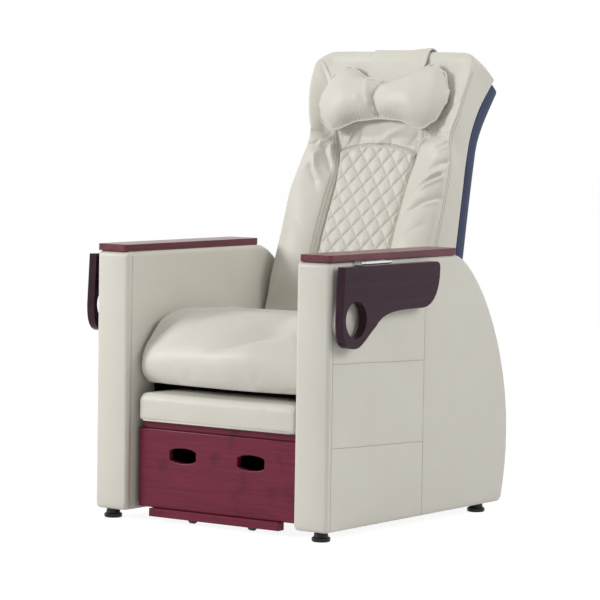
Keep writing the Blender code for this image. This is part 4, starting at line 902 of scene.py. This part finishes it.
def backTube():
    front, side, rear, rows = backrest["cells"]
    around = front + rear + 2 * side
    mesh = gridMesh("backCushion", around, rows)
    flat = readPoints(mesh)
    column = np.rint((flat[:, 0] + 1) / 2 * around).astype(int)
    row = (flat[:, 1] + 1) / 2
    along = row * spineLength
    half = backHalf(along)
    behind = row * rearSpine["stops"][-1]
    rearPlace = [np.interp(behind, rearSpine["stops"], rearSpine["line"][:, i]) for i in range(2)]
    points = np.zeros_like(flat)
    for start, count, kind in ((0, front, "front"), (front, side, "right"), (front + side, rear, "rear"),
                               (front + side + rear, side + 1, "left")):
        here = (column >= start) & (column < start + count)
        share = (column[here] - start) / (count - 1 if kind == "left" else count)
        if kind == "front":
            points[here] = backPoint((2 * share - 1) * half[here], along[here])
            continue
        sign = -1 if kind == "left" else 1
        edge = backPoint(sign * half[here], along[here])
        wide = np.full(here.sum(), sign * backrest["half"])
        rearEdge = np.stack([wide, rearPlace[0][here], rearPlace[1][here]], axis=-1)
        if kind == "rear":
            points[here] = rearEdge * np.stack([1 - 2 * share, np.ones_like(share), np.ones_like(share)], axis=-1)
        else:
            reach = share if kind == "right" else 1 - share
            points[here] = edge + (rearEdge - edge) * reach[:, None]
    writePoints(mesh, points)
    bm = bmesh.new()
    bm.from_mesh(mesh)
    bmesh.ops.remove_doubles(bm, verts=bm.verts, dist=joinGap)
    bmesh.ops.holes_fill(bm, edges=[e for e in bm.edges if e.is_boundary], sides=0)
    bmesh.ops.recalc_face_normals(bm, faces=bm.faces)
    bm.to_mesh(mesh)
    bm.free()
    return mesh


def makeBackCushion():
    look = backrest
    piece = newPiece("backCushion", backTube(), creamLeather, "backrest")
    points = readPoints(piece.data)
    along, lift, facing = backPlaces(points)
    across = np.abs(points[:, 0])
    inner = quiltEdge(along) + look["sewnRim"]
    outer = backHalf(along) - look["sewnRim"]
    spans = [(along > low) & (along < high) & (across < outer)
             for low, high in (look["looseAlong"], look["headLoose"])]
    bolster = spans[0] & (across > inner) & (lift > look["looseLift"])
    rim = spans[1] & (across > look["headLooseFrom"]) & (lift > look["headLooseLift"])
    swell(piece, ~(bolster | rim), look)
    subdivide(piece)
    points = readPoints(piece.data)
    along, lift, facing = backPlaces(points)
    across = points[:, 0].copy()
    face = ease(lift, *look["faceLift"]) * ease(backHalf(along) - np.abs(across), 0.0, look["faceRim"])
    flat = np.stack([across, along], axis=1)
    move = np.zeros(len(points))
    for path, depth, width in backSeams():
        move -= depth * hump(pathDistance(flat, path), 0.0, width)
    fade, *fadeSpan = look["foldFade"]
    for path, *size in ridges:  # rounded rolls, sharp valleys, both fading away from the seam
        height, width = np.array(size) / 1000
        gap, share = pathPlaces(flat, np.reshape(path, (-1, 2)) / 1000)
        profile = hump(gap, 0.0, width) if height > 0 else np.exp(-gap / width)
        move += height * profile * (1 - fade * ease(share, *fadeSpan))
    # the left side is drawn in at the waist, and the head's corners stand full
    drawn = ease(along, *look["pullRise"]) * ease(along, *look["pullFall"]) * ease(lift, *look["pullLift"])
    across += look["leftPull"] * drawn * ease(-across, *look["pullFrom"])
    points[:, 0] = across
    points[:, 2] += look["cornerFull"] * hump(np.abs(across), *look["cornerAcross"]) * hump(along, *look["cornerAlong"])
    inPanel = (np.abs(across) < quiltEdge(along)) & (along < quiltTop(across)) & (along > look["quiltLow"])
    move = np.where(inPanel, np.minimum(move, -look["panelSink"]), move)
    points[:, 1:] += facing * (move * face)[:, None]
    writePoints(piece.data, points)
    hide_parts("back_cushion")
    return piece


backPiece = makeBackCushion()
print("back cushion made")

# quilted panel

quilt = {
    "across": 0.0448, "up": 0.057, "start": 0.112,  # one diamond, and where the first one starts
    "puff": 0.0070, "valley": 0.38, "valleyFall": 0.07, "round": 0.6,
    "lip": 0.001, "lipEase": 0.003, "border": 0.010,
    "cells": (140, 280), "thickness": 0.003, "fill": 0.6,
    "lines": (-12, 18), "lineInset": 0.003,
}


def quiltLift(across, along):
    look = quilt
    column = (across + look["start"]) / look["across"]
    row = (along - backrest["quiltLow"]) / look["up"]
    first, second = (np.abs(np.sin(np.pi * place)) for place in (column + row, column - row))
    puff = look["valley"] * (1 - np.exp(-np.minimum(first, second) / look["valleyFall"]))
    puff = puff + (1 - look["valley"]) * (first * second) ** look["round"]
    edge = np.minimum(quiltEdge(along) - np.abs(across), quiltTop(across) - along)
    edge = np.minimum(edge, along - backrest["quiltLow"])
    lip = look["lip"] * ease(edge, 0.0, look["lipEase"])
    return look["puff"] * puff * ease(edge, 0.0, look["border"]) + lip - backDish(along)


def makeQuilt():
    mesh = gridMesh("quiltPanel", *quilt["cells"])
    points = readPoints(mesh)
    top = quiltTop(points[:, 0] * backrest["archHalf"])
    along = backrest["quiltLow"] + (points[:, 1] + 1) / 2 * (top - backrest["quiltLow"])
    across = points[:, 0] * quiltEdge(along)
    writePoints(mesh, onBack(across, along, quiltLift(across, along)))
    thicken(mesh, quilt["thickness"])
    piece = newPiece("quiltPanel", mesh, creamLeather, "backrest")
    return piece


def quiltRows():
    rows = []
    along = np.linspace(backrest["quiltLow"], backrest["quiltHigh"] + backrest["archRise"], 160)
    for slope in (-1, 1):
        for count in range(*quilt["lines"]):
            column = count - slope * (along - backrest["quiltLow"]) / quilt["up"]
            across = column * quilt["across"] - quilt["start"]
            inside = np.minimum(quiltEdge(along) - np.abs(across), quiltTop(across) - along) > quilt["lineInset"]
            if inside.sum() > 6:
                rows.append(onBack(across, along, quiltLift(across, along))[inside])
    return rows


quiltPiece = makeQuilt()
print("quilt made")

backThread = {
    "panelSpan": (0.06, 0.03), "panelGaps": (0.005, 0.012),  # from the foot to past the crease, beside the panel
    "archHalf": 0.114, "archGap": 0.005, "headGap": 0.004, "edgeFrom": 0.08, "edgeInsets": (0.003, 0.011),
}


def makeBackStitches():
    newStitches("quiltStitches", quiltRows(), surfaceTree(quiltPiece), quiltStitch, quiltThread, "backrest")
    look = backThread
    along = np.linspace(look["panelSpan"][0], backrest["crease"] + look["panelSpan"][1], 120)
    rows = [backPoint(side * (quiltEdge(along) + gap), along) for side in (-1, 1) for gap in look["panelGaps"]]
    across = np.linspace(-look["archHalf"], look["archHalf"], 60)
    rows.append(backPoint(across, quiltTop(across) + look["archGap"]))
    across, along = (np.linspace(a, b, 30) for a, b in zip(backrest["headSeam"][0], backrest["headSeam"][-1]))
    rows.append(backPoint(across + look["headGap"], along))
    along = np.linspace(look["edgeFrom"], frontLength, 160)
    rows += [onBack(side * backHalf(along), along, np.full(len(along), -inset))
             for side in (-1, 1) for inset in look["edgeInsets"]]
    newStitches("backStitches", rows, surfaceTree(backPiece), stitchLook, seamThread, "backrest")


makeBackStitches()
print("back stitched")

# headrest pillow

pillow = {
    "centre": 0.640, "shift": 0.004, "half": 0.186, "rise": 0.096, "thickness": 0.068, "rearShare": 0.20,
    "top": ((0.0, 0.54), (0.27, 0.65), (0.67, 1.0), (0.86, 0.77), (1.0, 0.23)),
    "bottom": ((0.0, -0.54), (0.27, -0.58), (0.70, -0.85), (0.87, -0.65), (1.0, -0.13)),
    "seam": ((-0.0096, 0.060), (-0.0096, 0.034), (-0.0143, -0.009), (0.0002, -0.042), (0.016, -0.066)),  # across, up
    # creases drawn towards the centre seam
    "folds": (((-0.046, 0.046), (-0.034, 0.012), (-0.020, -0.026)), ((0.050, 0.044), (0.030, 0.020), (0.008, 0.006)),
              ((-0.052, -0.016), (-0.034, -0.036), (-0.006, -0.050))),
    "foldHeight": 0.0038, "foldWidth": 0.0065,
    "seamSink": (0.013, 0.005), "seamHollow": (0.005, 0.022),  # depth, width
    "pleatDepth": 0.0052, "pleatPitch": 0.017, "pleatStray": (1.2, 70.0), "pleatEdge": (0.012, 0.022),
    "pleats": ((1.0, 0.035, 0.045), (0.5, -0.06, 0.03)),  # share, across, width
    "voxel": 0.0045, "slack": 0.003, "pressure": 3.0, "cap": 0.008, "frames": 20, "bending": 3.0, "fill": 0.6,
    "rub": (0.007, 0.016), "rubRounds": 90, "heldEdge": 0.006, "heldSeam": 0.005, "faceEase": 0.012,
    "piping": 0.0022, "pipingHold": 0.85, "pipingReach": 0.008,
    "turn": 2.2, "widen": 1.05, "heighten": 1.02, "drop": 0.007, "bedding": 0.0005,
}


def easedKnots(knots, share):
    for (a, first), (b, second) in zip(knots, knots[1:]):
        if share <= b:
            return first + (second - first) * float(ease(share, a, b - a))
    return knots[-1][1]


def pillowFrame():
    place, facing = spineAt(pillow["centre"])
    out = Vector((0.0, *facing)).normalized()
    up = Vector((0.0, out.z, -out.y))
    seat = -float(backDish(np.array(pillow["centre"]))) - pillow["bedding"]
    return Vector((pillow["shift"], *place)) + out * seat, up, out


def hangPillow(points):
    # the loose pillow hangs a little turned and is stuffed fuller than its CAD solid
    origin, up, out = (np.array(v) for v in pillowFrame())
    turn = math.radians(pillow["turn"])
    local = points - origin
    across = local[:, 0] * pillow["widen"]
    height = local @ up * pillow["heighten"]
    depth = local @ out
    turned = across * math.sin(turn) + height * math.cos(turn) - pillow["drop"]
    across = across * math.cos(turn) - height * math.sin(turn)
    return origin + np.outer(across, (1.0, 0.0, 0.0)) + np.outer(turned, up) + np.outer(depth, out)


def pillowRim():
    origin, up, out = pillowFrame()
    base = origin + out * pillow["thickness"] * pillow["rearShare"]
    shares = [math.sin(math.pi / 2 * i / 24) for i in range(-24, 25)]
    edges = [[base + Vector((s * pillow["half"], 0, 0)) + up * pillow["rise"] * easedKnots(pillow[edge], abs(s))
              for s in shares] for edge in ("top", "bottom")]
    return [tuple(p) for p in hangPillow(np.array(edges[0] + edges[1][::-1]))]


def pillowPlaces(points):
    # across and up, in front of the sewn edge, away from the centre seam
    origin, up, out = (np.array(v) for v in pillowFrame())
    local = points - origin
    flat = np.stack([points[:, 0], local @ up], axis=1)
    return flat, local @ out - pillow["thickness"] * pillow["rearShare"], pathDistance(flat, pillow["seam"])


def makePillow():
    look = pillow
    rim = pillowRim()
    rimPath = rim + rim[:1]
    piece = softPiece("headrestPillow", "headrest_pillow", "backrest", look)
    writePoints(piece.data, hangPillow(readPoints(piece.data)))
    smoothAway(piece, ease(pathDistance(readPoints(piece.data), rimPath), *look["rub"]), look["rubRounds"])
    points = readPoints(piece.data)
    flat, front, seamGap = pillowPlaces(points)
    edge = pathDistance(points, rimPath)
    swell(piece, (edge < look["heldEdge"]) | (front < 0.0) | (seamGap < look["heldSeam"]), look)
    subdivide(piece)
    points = readPoints(piece.data)
    flat, front, seamGap = pillowPlaces(points)
    across = flat[:, 0]
    depth, width = look["seamSink"]
    hollow, hollowWidth = look["seamHollow"]
    sink = depth * np.exp(-seamGap / width) + hollow * hump(seamGap, 0.0, hollowWidth)
    for fold in look["folds"]:
        sink -= look["foldHeight"] * hump(pathDistance(flat, fold), 0.0, look["foldWidth"])
    stray, strayPitch = look["pleatStray"]
    pleat = np.sin(across * 2 * np.pi / look["pleatPitch"] + stray * np.sin(across * strayPitch)) ** 2
    pleat *= sum(share * hump(across, *place) for share, *place in look["pleats"])
    sink += look["pleatDepth"] * pleat * hump(pathDistance(points, rimPath), *look["pleatEdge"])
    points -= np.array(pillowFrame()[2]) * (sink * ease(front, 0.0, look["faceEase"]))[:, None]
    # both faces are drawn out to the piping
    line = np.array(rimPath)
    stops = pathStops(line)
    gap, share = pathPlaces(points, rimPath)
    nearest = np.stack([np.interp(share, stops / stops[-1], line[:, i]) for i in range(3)], axis=1)
    points += (nearest - points) * (look["pipingHold"] * hump(gap, 0.0, look["pipingReach"]))[:, None]
    writePoints(piece.data, points)
    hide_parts("headrest_pillow")
    newPiece("pillowPiping", tubeMesh("pillowPiping", rim, look["piping"], True), creamLeather, "backrest")


makePillow()
print("pillow made")

# flap that carries the pillow over the top

flap = {
    "shift": 0.012, "width": 0.172, "low": 0.685, "high": 0.784, "tucked": 0.02, "thickness": 0.0034,
    "lift": 0.0012, "raised": 0.006, "raisedFrom": (0.55, 0.45),  # its right edge stands off the head
    "cells": (48, 40), "above": 0.09, "smoothRounds": 3,
}


def makeFlap():
    look = flap
    tree = surfaceTree(backPiece)
    mesh = gridMesh("pillowFlap", *look["cells"])
    points = readPoints(mesh)
    across = look["shift"] + points[:, 0] * look["width"] / 2
    along = look["low"] + (points[:, 1] + 1) / 2 * (look["high"] - look["low"])
    lift = look["lift"] + look["raised"] * ease((points[:, 0] + 1) / 2, *look["raisedFrom"])
    outside, ground = (onBack(across, along, np.full(len(along), height)) for height in (look["above"], 0.0))
    for i, (start, end) in enumerate(zip(outside, ground)):
        way = Vector(end - start).normalized()
        hit = tree.ray_cast(Vector(start), way)[0]
        points[i] = (hit or Vector(end)) - way * lift[i]
    writePoints(mesh, points)
    thicken(mesh, -look["thickness"], look["smoothRounds"])
    piece = newPiece("pillowFlap", mesh, creamLeather, "backrest")
    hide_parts("pillow_flap")


makeFlap()
print("flap made")

# footrest pad

footPad = {
    "voxel": 0.007, "slack": 0.0, "pressure": 2.5, "cap": 0.004, "frames": 16, "bending": 4.0, "fill": 0.85,
    "edge": 0.014, "heldLow": 0.004, "spare": (0.0005, 0.002, 0.001),
    "welt": 0.0024, "weltInset": 0.006, "weltCorner": 0.018, "weltFront": 0.0036, "weltRear": 0.01,
}


def makeFootPad():
    look = footPad
    low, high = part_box("footrest_pad")
    piece = softPiece("footPad", "footrest_pad", "foot_box", look)
    points = readPoints(piece.data)
    reach = np.minimum(points - np.array(low), np.array(high) - points) < look["edge"]
    held = (reach.sum(1) > 1) | (points[:, 2] < low.z + look["heldLow"])  # the sewn edges keep the pad boxy
    swell(piece, held, look)
    subdivide(piece)
    points = keepInside(readPoints(piece.data), "footrest_pad", look["spare"])
    writePoints(piece.data, points)
    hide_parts("footrest_pad")
    inset, corner, front = look["weltInset"], look["weltCorner"], low.y + look["weltFront"]
    leftHalf = [(low.x + inset, high.y - look["weltRear"]), (low.x + inset, low.y + corner), (low.x + corner, front)]
    rightHalf = [(low.x + high.x - x, y) for x, y in leftHalf[::-1]]
    path = [(x, y, low.z + look["welt"]) for x, y in leftHalf + rightHalf]
    newPiece("footPadWelt", tubeMesh("footPadWelt", path, look["welt"], False), creamLeather, "foot_box")


makeFootPad()
print("foot pad made")

print("scene finished")
